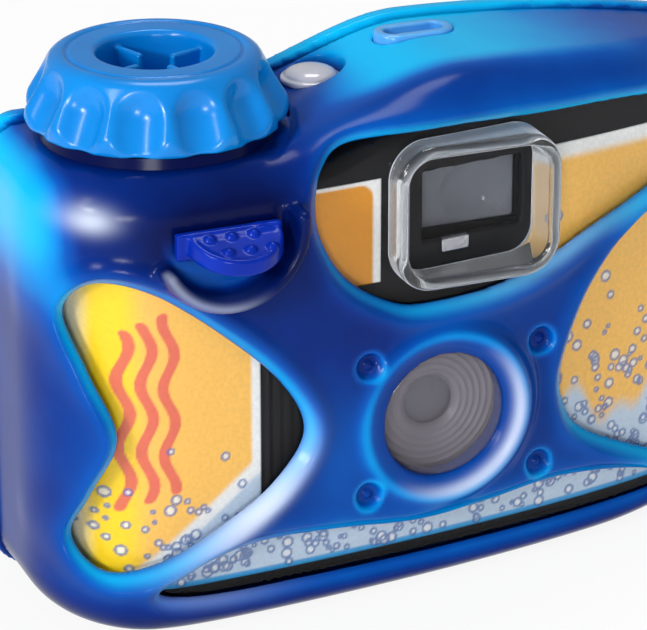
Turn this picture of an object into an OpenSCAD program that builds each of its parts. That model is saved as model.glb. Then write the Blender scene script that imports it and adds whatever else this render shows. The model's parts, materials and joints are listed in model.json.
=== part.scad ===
// Waterproof single-use film camera: a sealed two-shell case with clear windows round a simple 35 mm camera.
// The lens looks along -Y, Z is up, and the case stands on z = 0 with the lens axis at x = 0.

/* [Case] */
// Distance from the lens axis to the left side of the case
case_left = 62.5; // [62.5:0.25:65]
// Distance from the lens axis to the right end of the case
case_right = 61; // [61:0.5:66]
// Depth of the case in front of the cartridge axis
case_front = 22; // [22:0.25:24]
// Depth of the case behind the cartridge axis
case_rear = 20; // [20:0.25:23]
// Height of the flat deck under the winding knob
deck_z = 74; // [74:0.5:78]
// Rise of the arched top above the deck
arch_rise = 8.5; // [8.5:0.25:10]
// Radius of the arched top seen from the front
arch_r = 240; // [220:10:400]
// Wall of the two case shells
wall = 2.2; // [1.8:0.1:2.3]
// Radius of the two left corners seen from the front
left_corner_r = 7; // [6:0.5:9]
// Radius of the upper right corner seen from the front
shoulder_r = 17; // [14:0.5:18]
// Radius of the lower right corner seen from the front
toe_r = 9.5; // [8:0.5:11]
// Radius of the edge between the front and the top
brow_r = 7; // [6:0.25:8]
// Radius of the edge between the front and the bottom
foot_r = 4.5; // [4:0.25:5]
// Radius of the edge round the back
rear_r = 6; // [5.5:0.25:8.5]
// Place of the joint between the shells, behind the cartridge axis
split_y = 11; // [10:0.25:11.5]
// Thickness of the gasket between the shells
gasket_t = 0.8; // [0.5:0.1:1]
// Step of the rear shell's rim over the front shell
rim_step = 0.8; // [0.4:0.1:1.2]
// Width of the rear shell's rim
rim_w = 3; // [2:0.25:4]

/* [Windows] */
// Thickness of the clear panes
pane_t = 1.5; // [1.2:0.1:1.6]
// Width of the panes' flange behind the shell
pane_flange = 1.2; // [0.8:0.1:1.4]
// Radius of the clear lens port
port_r = 10.2; // [9.5:0.1:10.6]
// Wall of the tube that holds the lens port
port_ring_w = 3; // [2:0.1:3.2]
// Distance from the lens port to the crest of the ring round it
port_crest = 3.3; // [2.6:0.1:3.6]
// How far the ring round the lens port stands out of the front
port_ring_h = 1.6; // [1:0.1:2.2]
// Width of the clear finder bezel
bezel_w = 27; // [25:0.25:27.5]
// Height of the clear finder bezel
bezel_h = 23; // [21:0.2:23.4]
// Wall of the clear finder bezel
bezel_wall = 2; // [1.4:0.1:2.4]
// How far the finder bezel stands out of the front
bezel_out = 3.2; // [2:0.2:4.4]
// Width of the eyepiece window
eyepiece_w = 17; // [14:0.5:18]
// Height of the eyepiece window
eyepiece_h = 12; // [10:0.5:13]

/* [Winding knob] */
// Distance from the lens axis to the cartridge and knob axis
knob_x = 39; // [38.6:0.1:39.4]
// Radius of the knob's widest part
knob_r = 20.2; // [19:0.1:20.6]
// Radius of the knob's top face
knob_top_r = 15.4; // [14.5:0.1:16]
// Height of the knob
knob_h = 10.4; // [9:0.1:11]
// Radius of the well in the knob's top
well_r = 8.8; // [7.6:0.1:9.6]
// Number of grip flutes
flutes = 13; // [10:1:14]
// Depth of the grip flutes
flute_depth = 1.5; // [0.9:0.1:1.7]
// Radius of the drive shaft
shaft_r = 3; // [2.6:0.1:3.2]
// Running clearance on the radius of each shaft
run_gap = 0.05; // [0.02:0.01:0.08]

/* [Shutter lever] */
// Radius of the lever's half-round paddle
paddle_r = 7.6; // [7:0.1:7.8]
// Thickness of the paddle
paddle_t = 2.6; // [2:0.1:3]
// Slope of the paddle down to its front
paddle_tilt = 20; // [10:1:22]
// Distance from the lens axis to the lever shaft
lever_x = 31.5; // [31:0.1:32]
// Radius of the lever shaft
lever_shaft_r = 2.2; // [1.8:0.1:2.4]
// Length of the inner arm
arm_len = 10; // [9.5:0.1:10.5]
// Outer radius of the guard round the lever
guard_r = 12; // [11.6:0.1:12.2]
// Wall of the guard
guard_wall = 2; // [1.6:0.1:2.2]
// How far the guard stands out of the front
guard_out = 5; // [3:0.25:6]

/* [Inner camera] */
// Wall of the inner camera's covers
cover_wall = 1.2; // [1:0.1:1.3]
// Radius of the film cartridge
cartridge_r = 12.5; // [12.3:0.1:12.6]
// Length of the film cartridge's shell
cartridge_len = 43.4; // [42.6:0.2:44]
// Width of the film
film_w = 35; // [34.6:0.1:35]
// Radius of the film wound on the supply spool
roll_r = 9.1; // [8:0.1:9.3]
// Radius of the taking lens
lens_r = 4.4; // [3.8:0.1:4.8]
// Turns of the lever's return spring
spring_turns = 3; // [2:1:3]

/* [Strap eye] */
// Radius of the hole for the wrist strap
strap_hole_r = 2.2; // [1.6:0.1:2.4]

/* [Hidden] */
$fn = 48;
fit = 0.05;
clear = 0.3;
eps = 0.01;
far = 60;

// Case form
left_power = 2.5;
right_power = 1.6;
arch_start = 30;
arch_run = 36;
arch_peak_x = 4;
least_edge = 0.6;
edge_shares = [0, 0.03, 0.1, 0.23, 0.45, 0.72, 1];
left_steps = 6;
right_steps = 12;
plan_shares = concat(
    [for (k = [0:left_steps]) let (a = 90 * k / left_steps)
        [-pow(cos(a), 2 / left_power), pow(sin(a), 2 / left_power)]],
    [for (k = [1:right_steps]) let (a = 90 * k / right_steps)
        [pow(sin(a), 2 / right_power), cos(a)]]);

// Depths below the outer skin
pane_in = wall + fit;
pane_back = pane_in + pane_t;
cover_gap = 0.55;
cover_in = pane_back + cover_gap;
cover_floor = cover_in + cover_wall;
label_t = 0.2;
label_in = cover_in - label_t - fit;
gasket_in = 0.45;

// Film, cartridge and chassis heights
spool_half = cartridge_len / 2 + 0.9;
spool_low = cover_floor + 0.4;
film_z = spool_low + spool_half;
spool_end_r = 3.2;
key_r = 2.4;
spool_core_r = 5.5;
chamber_r = cartridge_r + 0.5;
chamber_wall = 0.9;
plate_t = 1.2;
plate_z = film_z + spool_half + 2.9;
plate_top = plate_z + plate_t;

// Knob and its gland
knob_z = deck_z + 2.2;
knob_rim_h = 2.1;
knob_floor = 3.4;
knob_gap = 0.8;
flute_phase = 21;
collar_r = knob_r - 2.4;
turret_r = knob_r - 1.6;
turret_edge = 1.2;
gland_r = 6;
oring_r = 0.9;
shaft_low = plate_top + 5.2;

// Lens port and lens
lens_face_y = face_y(0);
port_front_y = lens_face_y - port_ring_h;
port_back_y = lens_face_y + wall + 1.3;
port_flange_t = 1.2;
crest_w = 0.9;
crest_drop = 1.7;
crest_foot = 2.4;
port_glass = 3.6;
retainer_t = 1;
retainer_r = port_r + 2.4;
retainer_y = port_back_y + fit + port_flange_t + clear;
lens_len = 1.9;
board_y = retainer_y + retainer_t + fit + 2;
board_t = 1.2;
shutter_room = 4.6;
tunnel_y = board_y + board_t + shutter_room;

// Finder and windows
finder_wall = 1.2;
finder_inset = 0.6;
finder_gap = 0.4;
front_lens_t = 2;
eye_lens_t = 1.8;
finder_x = 6.5;
finder_w = 16.6;
finder_roof = cover_floor + 0.5;
finder_h = deck_z - finder_roof - plate_top - 2 * finder_wall;
finder_z = plate_top + finder_wall + finder_h / 2;
finder_front_y = face_y(finder_x + finder_w / 2 + finder_wall, cover_floor) + 0.4;
finder_back_y = case_rear - cover_floor - 0.8;
bezel_x = 4.4;
bezel_z = deck_z - 11.9;
bezel_round = 6;
window_back_y = -4;
pane_low = 4;
pane_high = deck_z + arch_rise;
dimple_r = 2.2;
dimple_depth = 0.8;
dimples = [[-12.8, film_z + 10.5], [17.6, film_z + 8.6], [-12.8, film_z - 11], [17.6, film_z - 12.4]];

// Top fittings
counter_x = -12;
counter_y = 5;
counter_rim_r = 4.7;
counter_bore_r = counter_rim_r - 1.5;
well_gap = 0.2;
well_flare = 8;
counter_seat_z = deck_z + 2.6;
slot_x = 5;
slot_y = 5;
slot_l = 12.8;
slot_w = 6.4;
strap_y = 4;
strap_z = deck_z - 2 * shoulder_r;

// Lever
lever_z = deck_z - 10.9;
guard_x = -36.6;
guard_z = lever_z + 2.8;
paddle_x = -35.6;
web_x = -36.3;
web_w = 16.4;
web_t = 1.4;
paddle_y = -case_front - 0.4;
lever_hub_r = 3;
lever_bush_r = lever_shaft_r + 2;
lever_seat = -face_y(lever_bush_r + 1 - lever_x, wall);
arm_y = -case_front + wall + 5.6;
arm_t = 1.4;
slide_w = 4;
slide_low = plate_z - 1.4;
slide_travel = 1.4;
shaft_reach = 1;
lever_wire = 0.28;
spring_room = arm_y + lever_seat - 1;
spring_pitch = (spring_room - 2 * clear - 2 * lever_wire) / spring_turns;

// Film path
roll_x = 32;
film_t = 0.2;
gate_t = 1.2;
lip_t = 2.4;
film_y = 11.2;
gate_y = film_y - clear - gate_t;
roll_y = film_y - clear - roll_r;
roll_core_r = 5;
sprocket_x = -18;
sprocket_r = 5.6;
sprocket_z = film_z + film_w / 2 - 2;
tooth_h = 1.2;
axle_r = 1.5;
sprocket_y = film_y - clear - sprocket_r;
disc_x = -9.8;
disc_y = 6.5;
disc_r = 6.2;
disc_pin_r = 1.4;
disc_z = deck_z - 6.6;

// Shutter
pivot_r = 0.9;
blade_x = 7;
blade_z = film_z + 7;
blade_y = board_y + board_t + 1.2;
blade_t = 0.4;
blade_wire = 0.22;
blade_turns = 2;
blade_pitch = (tunnel_y - blade_y - blade_t - 2 * clear - 2 * blade_wire) / blade_turns;
blade_tip_r = 3.2;
blade_tail_rise = 13;
blade_tail = [5, film_z + blade_tail_rise];
striker_x = -9;
striker_rise = 15;
striker_z = film_z + striker_rise;
striker_t = 0.5;
striker_tip = [4, striker_z - 0.5];
striker_tail_rise = 6;
striker_tail = [-11, striker_z + striker_tail_rise];
arm_r = 1;

echo(lever_spring_gap = spring_pitch - 2 * lever_wire, blade_spring_gap = blade_pitch - 2 * blade_wire);

// Clear pane outlines on the front, as (x, z) points of closed curves above a given height
function raised(z, p) = [for (q = p) [q[0], q[1] + z]];
left_outline = raised(film_z, [
    [-58.4, 23.9], [-55.7, 14.5], [-52.3, 4.5], [-55.6, -4.5], [-58.2, -12.5], [-54.6, -17.7],
    [-46.9, -16.5], [-36.7, -11.7], [-28.1, -6], [-23.2, 1.6], [-27.2, 10.3], [-36.7, 19.7],
    [-46.9, 27.3], [-54.8, 29.1]]);
finder_outline = raised(deck_z, [
    [-21.3, -8.5], [-20, -2.8], [-14.3, 0.4], [0.3, 0.8], [17.5, 0], [34.9, -0.8], [45, -3],
    [48.6, -7.6], [45.2, -12.6], [35.9, -16.9], [26, -20.8], [17.8, -24.4], [8.8, -26.6],
    [-1.8, -27], [-8.1, -25.8], [-15.6, -21], [-19.9, -14.5]]);
right_outline = raised(film_z, [
    [36, 24.1], [27.5, 15], [22.6, 3.6], [22.8, -3.5], [26.7, -9], [37.4, -14.9], [45, -17.9],
    [49.4, -17.5], [51.2, -13.5], [50.8, -5.5], [49.4, 2.5], [50.6, 11.5], [50.6, 18.9],
    [47.6, 23.9], [42.4, 25.7]]);
lower_outline = [
    [-46.9, 6.8], [-43.4, 9.6], [-37.7, 12], [-28.7, 13.1], [-16.4, 12.3], [-3.9, 10.8], [8.8, 11.2],
    [21.8, 12], [35.9, 9.9], [42.6, 7.6], [44.6, 6], [41, 5.2], [26, 5], [0.3, 5], [-22.6, 5.2], [-38.7, 5.4]];

function smooth(u) = let (c = min(1, max(0, u))) c * c * (3 - 2 * c);

// Height of the case's top at a place across it
function top_z(x) = deck_z
    + smooth((x + arch_start) / arch_run) * (arch_rise - pow(x - arch_peak_x, 2) / (2 * arch_r));

// Front face in plan: a squarish bulge round the cartridge that falls away slowly to the right end
function reach(side, inset) = (side < 0 ? case_left - knob_x : case_right + knob_x) - inset;
function face_y(x, inset = 0) = let (u = abs(x + knob_x) / reach(x + knob_x, inset))
    -(case_front - inset) * (x < -knob_x ? pow(1 - pow(u, left_power), 1 / left_power)
                                         : sqrt(1 - pow(u, right_power)));
function face_points(inset) = [for (s = plan_shares)
    [-knob_x + s[0] * reach(s[0], inset), -s[1] * (case_front - inset)]];
function reversed(p) = [for (k = [len(p) - 1:-1:0]) p[k]];

// How far a round edge draws in at a distance from its face
function edge(size, inset) = max(least_edge, size - inset);
function round_in(r, h) = h >= r ? 0 : r - sqrt(r * r - (r - h) * (r - h));

// Levels of the case form from foot to top: height, hung from the top or not, then the front, left, right
// and rear draw-in
function foot_level(h, i) = [i + h, false, round_in(edge(foot_r, i), h), round_in(edge(left_corner_r, i), h),
    round_in(edge(toe_r, i), h), round_in(edge(rear_r, i), h)];
function top_level(h, i) = [-i - h, true, round_in(edge(brow_r, i), h), round_in(edge(left_corner_r, i), h),
    round_in(edge(shoulder_r, i), h), round_in(edge(rear_r, i), h)];
function levels(i) = concat([for (s = edge_shares) foot_level(s * edge(toe_r, i), i)],
                            [for (s = reversed(edge_shares)) top_level(s * edge(shoulder_r, i), i)]);

// Outline of one level, counter-clockwise from the left end: along the front, then back along the rear
function level_ring(v, i) =
    let (left = reach(-1, i) - v[3], right = reach(1, i) - v[4], back = case_rear - i - v[5],
         xs = [for (s = plan_shares) -knob_x + s[0] * (s[0] < 0 ? left : right)],
         zs = [for (x = xs) v[1] ? top_z(x) + v[0] : v[0]],
         n = len(xs))
    concat([for (k = [0:n - 1]) [xs[k], -plan_shares[k][1] * (case_front - i - v[2]), zs[k]]],
        [for (k = [n - 1:-1:0])
            [xs[k], back - round_in(edge(rear_r, i), min(xs[k] - xs[0], xs[n - 1] - xs[k])), zs[k]]]);

// Solid form of the case, drawn in from the outer skin by inset
module form(inset) {
    list = levels(inset);
    n = len(plan_shares);
    m = len(list);
    turn = 2 * n;
    points = [for (v = list) each level_ring(v, inset)];
    sides = [for (j = [0:m - 2]) for (k = [0:turn - 1]) let (q = (k + 1) % turn, a = j * turn, b = a + turn)
        each [[a + k, b + k, b + q], [a + k, b + q, a + q]]];
    top = (m - 1) * turn;
    caps = [for (k = [0:n - 2]) let (f = k, r = turn - 1 - k)
        each [[f, f + 1, r - 1], [f, r - 1, r],
              [top + f, top + r - 1, top + f + 1], [top + f, top + r, top + r - 1]]];
    polyhedron(points, concat(sides, caps), convexity = 6);
}

module layer(outer, inner) {
    difference() {
        form(outer);
        form(inner);
    }
}

// Upright sheet that follows the front face below the outer skin
module face_layer(inset, t, low, high) {
    translate([0, 0, low])
        linear_extrude(high - low) polygon(concat(face_points(inset), reversed(face_points(inset + t))));
}

module behind_face(inset) {
    linear_extrude(2 * far) polygon(concat(face_points(inset), [[case_right, far], [-case_left, far]]));
}

// Closed smooth curve through a list of points
function curve_point(a, b, c, d, t) = 0.5 * (2 * b + (c - a) * t + (2 * a - 5 * b + 4 * c - d) * t * t
    + (3 * b - a - 3 * c + d) * t * t * t);
function closed_curve(p, steps = 4) = let (n = len(p)) [for (i = [0:n - 1]) for (k = [0:steps - 1])
    curve_point(p[(i + n - 1) % n], p[i], p[(i + 1) % n], p[(i + 2) % n], k / steps)];

// Extrudes a front-view outline from one depth forward to another
module through_y(back, front) {
    translate([0, back, 0])
        rotate([90, 0, 0])
            linear_extrude(back - front) children();
}

module rounded(w, h, r) {
    hull()
        for (x = [-1, 1], y = [-1, 1])
            translate([x * (w / 2 - r), y * (h / 2 - r)]) circle(r, $fn = 32);
}

module slab_y(back, front) {
    translate([-2 * far, front, -far]) cube([4 * far, back - front, 4 * far]);
}

// Helical wire along +Z with plain ends
function coil_points(r, pitch, turns, wire) = [for (k = [0:8 * turns]) for (j = [0:5])
    let (a = 45 * k, b = 60 * j, rr = r + wire * cos(b))
        [rr * cos(a), rr * sin(a), pitch * k / 8 + wire * sin(b)]];
module coil(r, pitch, turns, wire) {
    n = 8 * turns;
    sides = [for (k = [0:n - 1]) for (j = [0:5]) let (q = (j + 1) % 6, a = 6 * k, b = a + 6)
        each [[a + j, b + j, b + q], [a + j, b + q, a + q]]];
    caps = [for (j = [1:4]) each [[0, j, j + 1], [6 * n, 6 * n + j + 1, 6 * n + j]]];
    polyhedron(coil_points(r, pitch, turns, wire), concat(sides, caps), convexity = 8);
}

module pane(outline) {
    intersection() {
        face_layer(pane_in, pane_t, pane_low, pane_high);
        through_y(window_back_y, -far) offset(pane_flange) polygon(closed_curve(outline));
    }
}

module at_lens() {
    translate([0, 0, film_z]) rotate([90, 0, 0]) children();
}

module at_lever() {
    translate([-lever_x, 0, lever_z]) rotate([90, 0, 0]) children();
}

// Outer form with the round stand under the knob and room for the knob beside the arch
module case_form() {
    difference() {
        union() {
            form(0);
            translate([-knob_x, 0, deck_z - left_corner_r])
                cylinder(left_corner_r - turret_edge, turret_r, turret_r, $fn = 96);
            translate([-knob_x, 0, deck_z - turret_edge])
                cylinder(turret_edge, turret_r, turret_r - turret_edge / 2, $fn = 96);
        }
        translate([-knob_x, 0, deck_z]) cylinder(far, knob_r + knob_gap, knob_r + knob_gap, $fn = 96);
    }
}

// Tube that carries the lens port, with a flared mouth and a raised crest round it
module port_tube() {
    crest_r = port_r + port_crest;
    at_lens() rotate_extrude($fn = 72)
        polygon([[port_r, -port_back_y], [port_r, -port_front_y - crest_drop],
            [crest_r - crest_w, -port_front_y - crest_w / 3], [crest_r, -port_front_y],
            [crest_r + crest_w, -port_front_y - crest_w / 3],
            [crest_r + crest_foot, -lens_face_y - 0.8 * wall],
            [port_r + port_ring_w, -lens_face_y - wall], [port_r + port_ring_w, -port_back_y]]);
}

// Half-ring wall under and beside the lever, open on the left
module lever_guard() {
    through_y(-case_front + wall, -case_front - guard_out) intersection() {
        translate([guard_x, guard_z]) difference() {
            circle(guard_r, $fn = 72);
            circle(guard_r - guard_wall, $fn = 72);
        }
        translate([guard_x, guard_z])
            polygon([[0, 0], [-far, -far / 2], [-far, -far], [far, -far], [far, far / 5]]);
    }
}

module window_cuts() {
    for (p = [left_outline, finder_outline, right_outline, lower_outline])
        through_y(window_back_y, -far) polygon(closed_curve(p));
}

module front_dimples() {
    for (p = dimples)
        translate([p[0], face_y(p[0]) + dimple_depth, p[1]]) rotate([90, 0, 0])
            cylinder(2 * dimple_depth, dimple_r / 2, 3 * dimple_r / 2);
}

module slot_outline(grow) {
    hull()
        for (s = [-1, 1])
            translate([slot_x + s * (slot_l - slot_w) / 2, slot_y]) circle(slot_w / 2 + grow, $fn = 32);
}

// Case shells and seal
module front_shell() color("royalblue") {
    difference() {
        union() {
            case_form();
            lever_guard();
        }
        form(wall);
        slab_y(far, split_y);
        window_cuts();
        front_dimples();
        at_lens() cylinder(far, port_r + port_ring_w / 2, port_r + port_ring_w / 2, $fn = 72);
        at_lever() cylinder(far, lever_bush_r + fit, lever_bush_r + fit);
        translate([-knob_x, 0, deck_z - far / 4]) cylinder(far, gland_r + fit, gland_r + fit);
        translate([counter_x, counter_y, counter_seat_z])
            cylinder(far, counter_rim_r + well_gap, counter_rim_r + well_gap + well_flare);
        translate([counter_x, counter_y, deck_z - far / 4]) cylinder(far, counter_bore_r, counter_bore_r);
        translate([0, 0, deck_z]) linear_extrude(far) slot_outline(fit);
    }
    port_tube();
}

module rear_shell() color("royalblue") {
    difference() {
        union() {
            case_form();
            intersection() {
                form(-rim_step);
                slab_y(split_y + gasket_t + rim_w, split_y);
            }
        }
        form(wall);
        slab_y(split_y + gasket_t, -far);
        translate([-2 * far, -far, -far]) cube([4 * far, 2 * far, far]);
        translate([-knob_x, 0, deck_z]) cylinder(far, knob_r + knob_gap, knob_r + knob_gap, $fn = 96);
        translate([finder_x, far, finder_z])
            rotate([90, 0, 0]) linear_extrude(far) rounded(eyepiece_w, eyepiece_h, 3);
    }
}

module case_gasket() color("dimgray") {
    intersection() {
        layer(gasket_in, wall);
        slab_y(split_y + gasket_t, split_y);
    }
}

// Clear windows
module left_window() color("azure", 0.4) pane(left_outline);
module right_window() color("azure", 0.4) pane(right_outline);
module lower_window() color("azure", 0.4) {
    intersection() {
        pane(lower_outline);
        form(pane_in);
    }
}

module finder_window() color("azure", 0.4) {
    intersection() {
        pane(finder_outline);
        form(pane_in);
    }
    difference() {
        through_y(window_back_y, lens_face_y - bezel_out) translate([bezel_x, bezel_z]) difference() {
            rounded(bezel_w, bezel_h, bezel_round);
            rounded(bezel_w - 2 * bezel_wall, bezel_h - 2 * bezel_wall, bezel_round - bezel_wall / 2);
        }
        behind_face(pane_in + pane_t / 2);
    }
}

module lens_port() color("slategray", 0.5) at_lens() {
    translate([0, 0, -port_back_y - fit - port_flange_t])
        cylinder(port_flange_t, port_r + pane_flange, port_r + pane_flange, $fn = 72);
    translate([0, 0, -port_back_y - fit - eps]) cylinder(port_glass, port_r - fit, port_r - fit, $fn = 72);
}

module eyepiece_window() color("azure", 0.4) {
    inner = case_rear - pane_in;
    proud = 0.5;
    translate([finder_x, 0, finder_z]) {
        translate([0, inner, 0]) rotate([90, 0, 0])
            linear_extrude(pane_t) rounded(eyepiece_w + 2 * pane_flange, eyepiece_h + 2 * pane_flange, 3.6);
        translate([0, inner + wall - proud, 0]) rotate([90, 0, 0])
            linear_extrude(wall - proud + eps) rounded(eyepiece_w - 2 * fit, eyepiece_h - 2 * fit, 3);
    }
}

// Domed magnifier over the frame counter
module counter_lens() color("whitesmoke", 0.7) {
    dome_r = 9;
    dome_h = 2.4;
    rim_t = 0.8;
    translate([counter_x, counter_y, counter_seat_z]) {
        cylinder(rim_t, counter_rim_r, counter_rim_r);
        intersection() {
            translate([0, 0, dome_h - dome_r]) rotate([90, 0, 0]) sphere(dome_r, $fn = 64);
            translate([0, 0, rim_t - eps]) cylinder(dome_h, counter_rim_r - 0.6, counter_rim_r - 0.6);
        }
    }
}

module slot_insert() color("deepskyblue") {
    cut = [8, 2.2, far];
    proud = 0.4;
    floor_t = 0.8;
    translate([0, 0, top_z(slot_x) - wall]) difference() {
        linear_extrude(wall + proud) slot_outline(0);
        translate([slot_x - cut[0] / 2, slot_y - cut[1] / 2, floor_t]) cube(cut);
    }
}

// Lug with a drilled eye on the right end, for a wrist strap
module strap_eye() color("royalblue") {
    eye_r = strap_hole_r + 2;
    depth = 5;
    translate([case_right + fit, strap_y, strap_z]) {
        difference() {
            union() {
                translate([0, -depth / 2, -eye_r]) cube([eye_r, depth, 2 * eye_r]);
                translate([eye_r, depth / 2, 0]) rotate([90, 0, 0]) cylinder(depth, eye_r, eye_r);
            }
            translate([eye_r, depth, 0]) rotate([90, 0, 0]) cylinder(2 * depth, strap_hole_r, strap_hole_r);
        }
    }
}

// Winding knob and its sealed shaft
module knob_profile() {
    polygon([[0, 0], [knob_r - 1.6, 0], [knob_r - 0.6, 0.4],
        [knob_r, knob_rim_h], [knob_r - 0.3, knob_rim_h + 0.6],
        [knob_top_r + 0.6, knob_h - 1], [knob_top_r - 0.6, knob_h - 0.15], [knob_top_r - 1.6, knob_h],
        [0, knob_h]]);
}

module flute() {
    cut_r = 4.8;
    reach = 0.45 * knob_h;
    slant = atan((knob_r - knob_top_r - 0.6) / (knob_h - knob_rim_h - 1));
    translate([knob_r + cut_r - flute_depth, 0, knob_rim_h]) {
        rotate([0, -slant, 0]) {
            cylinder(reach, cut_r, cut_r, $fn = 32);
            translate([0, 0, reach]) sphere(cut_r, $fn = 32);
        }
        sphere(cut_r, $fn = 32);
        translate([0, 0, -far]) cylinder(far, cut_r, cut_r, $fn = 32);
    }
}

module advance_knob() color("dodgerblue") {
    floor_t = 1.4;
    groove = 0.5;
    groove_r = knob_top_r - 2;
    rib = [well_r - shaft_r - 0.8, 1, 4.2];
    translate([-knob_x, 0, knob_z]) {
        difference() {
            rotate_extrude($fn = 96) knob_profile();
            for (k = [0:flutes - 1])
                rotate([0, 0, 360 * k / flutes + flute_phase]) flute();
            translate([0, 0, knob_floor]) cylinder(far, well_r - 0.5, well_r, $fn = 72);
            translate([0, 0, -eps])
                cylinder(knob_floor - floor_t + eps, collar_r - 2.2, collar_r - 2.2, $fn = 72);
            translate([0, 0, knob_h - groove]) difference() {
                cylinder(1, groove_r, groove_r, $fn = 72);
                translate([0, 0, -1]) cylinder(3, groove_r - groove, groove_r - groove, $fn = 72);
            }
            translate([0, 0, -1]) cylinder(far, shaft_r + fit, shaft_r + fit);
        }
        difference() {
            for (k = [0:3])
                rotate([0, 0, 90 * k + 20])
                    translate([shaft_r + 0.6, -rib[1] / 2, knob_floor - eps]) cube(rib);
            difference() {
                cylinder(far, 2 * well_r, 2 * well_r);
                translate([0, 0, -1]) cylinder(far + 2, well_r - 0.2, well_r - 0.2, $fn = 72);
            }
        }
    }
}

tang = [1.8, 4.4, 2];
module knob_shaft() color("silver") {
    top = knob_z + knob_floor + 1.4;
    translate([-knob_x, 0, shaft_low]) {
        cylinder(top - shaft_low, shaft_r, shaft_r);
        translate([-tang[0] / 2, -tang[1] / 2, -tang[2]]) cube([tang[0], tang[1], tang[2] + eps]);
    }
}

module knob_gland() color("navy") {
    bush_low = deck_z - cover_in + 0.5;
    collar_h = 1.6;
    translate([-knob_x, 0, 0]) difference() {
        union() {
            translate([0, 0, deck_z + fit]) cylinder(collar_h, collar_r, collar_r - 0.4, $fn = 96);
            translate([0, 0, bush_low]) cylinder(deck_z - bush_low + fit + eps, gland_r, gland_r);
        }
        translate([0, 0, bush_low - 1]) cylinder(far, shaft_r + run_gap, shaft_r + run_gap);
        translate([0, 0, deck_z - 2]) cylinder(2 * oring_r, shaft_r + 2 * oring_r, shaft_r + 2 * oring_r);
    }
}

module knob_oring() color("black") {
    translate([-knob_x, 0, deck_z - 2 + oring_r])
        rotate_extrude() translate([shaft_r + oring_r + fit / 2, 0]) circle(oring_r - fit, $fn = 24);
}

// Shutter lever and its sealed shaft: an upright web with a sloping half-round paddle and staggered grip bumps
module paddle() {
    bump_r = 0.9;
    bump_x = 3.4;
    bump_stagger = 0.9;
    bump_rows = [1.2, 4.5];
    intersection() {
        translate([0, 0, -paddle_t]) cylinder(paddle_t, paddle_r, paddle_r - 0.5, $fn = 72);
        translate([-far, -far, -far]) cube([2 * far, far, 2 * far]);
    }
    for (row = [0, 1], k = [-1:1])
        translate([k * bump_x + (2 * row - 1) * bump_stagger, -bump_rows[row], -bump_r / 3])
            rotate([90, 0, 0]) sphere(bump_r, $fn = 24);
}

module shutter_lever() color("mediumblue") {
    top = guard_z + 0.3;
    web_low = lever_z - 1;
    hub_len = 2.2;
    difference() {
        union() {
            translate([paddle_x, paddle_y - web_t + eps, top - 0.3]) rotate([paddle_tilt, 0, 0]) paddle();
            translate([web_x - web_w / 2, paddle_y - web_t, web_low]) cube([web_w, web_t, top - web_low]);
            at_lever() translate([0, 0, -paddle_y]) cylinder(hub_len, lever_hub_r, lever_hub_r);
        }
        at_lever() cylinder(-paddle_y + shaft_reach + 0.2, lever_shaft_r + fit, lever_shaft_r + fit);
    }
}

module lever_shaft() color("silver") {
    low = -arm_y - arm_t - 0.6;
    at_lever() translate([0, 0, low]) cylinder(-paddle_y + shaft_reach - low, lever_shaft_r, lever_shaft_r);
}

module lever_gland() color("navy") {
    flange_t = 1;
    groove_r = lever_shaft_r + 1.4;
    at_lever() difference() {
        union() {
            translate([0, 0, lever_seat - flange_t]) {
                cylinder(case_front - lever_seat + flange_t - 0.2, lever_bush_r, lever_bush_r);
                cylinder(flange_t - fit, lever_bush_r + 1, lever_bush_r + 1);
            }
        }
        cylinder(far, lever_shaft_r + run_gap, lever_shaft_r + run_gap);
        translate([0, 0, lever_seat]) cylinder(1.4, groove_r, groove_r);
    }
}

module lever_oring() color("black") {
    at_lever() translate([0, 0, lever_seat + 0.7])
        rotate_extrude() translate([lever_shaft_r + 0.72, 0]) circle(0.67, $fn = 24);
}

module lever_arm() color("gray") {
    arm_h = 3.2;
    at_lever() translate([0, 0, -arm_y - arm_t]) difference() {
        union() {
            cylinder(arm_t, lever_hub_r + 0.2, lever_hub_r + 0.2);
            translate([-arm_len - 1, -arm_h / 2, 0]) cube([arm_len + 1, arm_h, arm_t]);
        }
        translate([0, 0, -1]) cylinder(far, lever_shaft_r + fit, lever_shaft_r + fit);
    }
}

module lever_spring() color("silver") {
    at_lever() translate([0, 0, -arm_y + clear + lever_wire])
        coil(lever_shaft_r + 0.9, spring_pitch, spring_turns, lever_wire);
}

// Covers and label of the inner camera
module front_cover() color("black") {
    lever_port = [20, 13];
    difference() {
        layer(cover_in, cover_floor);
        slab_y(far, 0);
        at_lens() cylinder(far, port_r + port_ring_w + 0.4, port_r + port_ring_w + 0.4, $fn = 72);
        through_y(0, -far) translate([finder_x, finder_z])
            square([finder_w + 2 * finder_gap, finder_h + 2 * finder_gap], center = true);
        through_y(0, -far) translate([guard_x + 1.2, lever_z]) square(lever_port, center = true);
        translate([-knob_x, 0, deck_z - far / 4]) cylinder(far, gland_r + 0.4, gland_r + 0.4);
    }
}

module back_cover() color("black") {
    difference() {
        layer(cover_in, cover_floor);
        slab_y(fit, -far);
        translate([finder_x, far, finder_z]) rotate([90, 0, 0])
            linear_extrude(far) square([finder_w - 3, finder_h - 1], center = true);
        translate([-knob_x, 0, deck_z - far / 4]) cylinder(far, gland_r + 0.4, gland_r + 0.4);
        translate([counter_x, counter_y, deck_z - far / 4])
            cylinder(far, counter_bore_r + 0.4, counter_bore_r + 0.4);
    }
}

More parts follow.
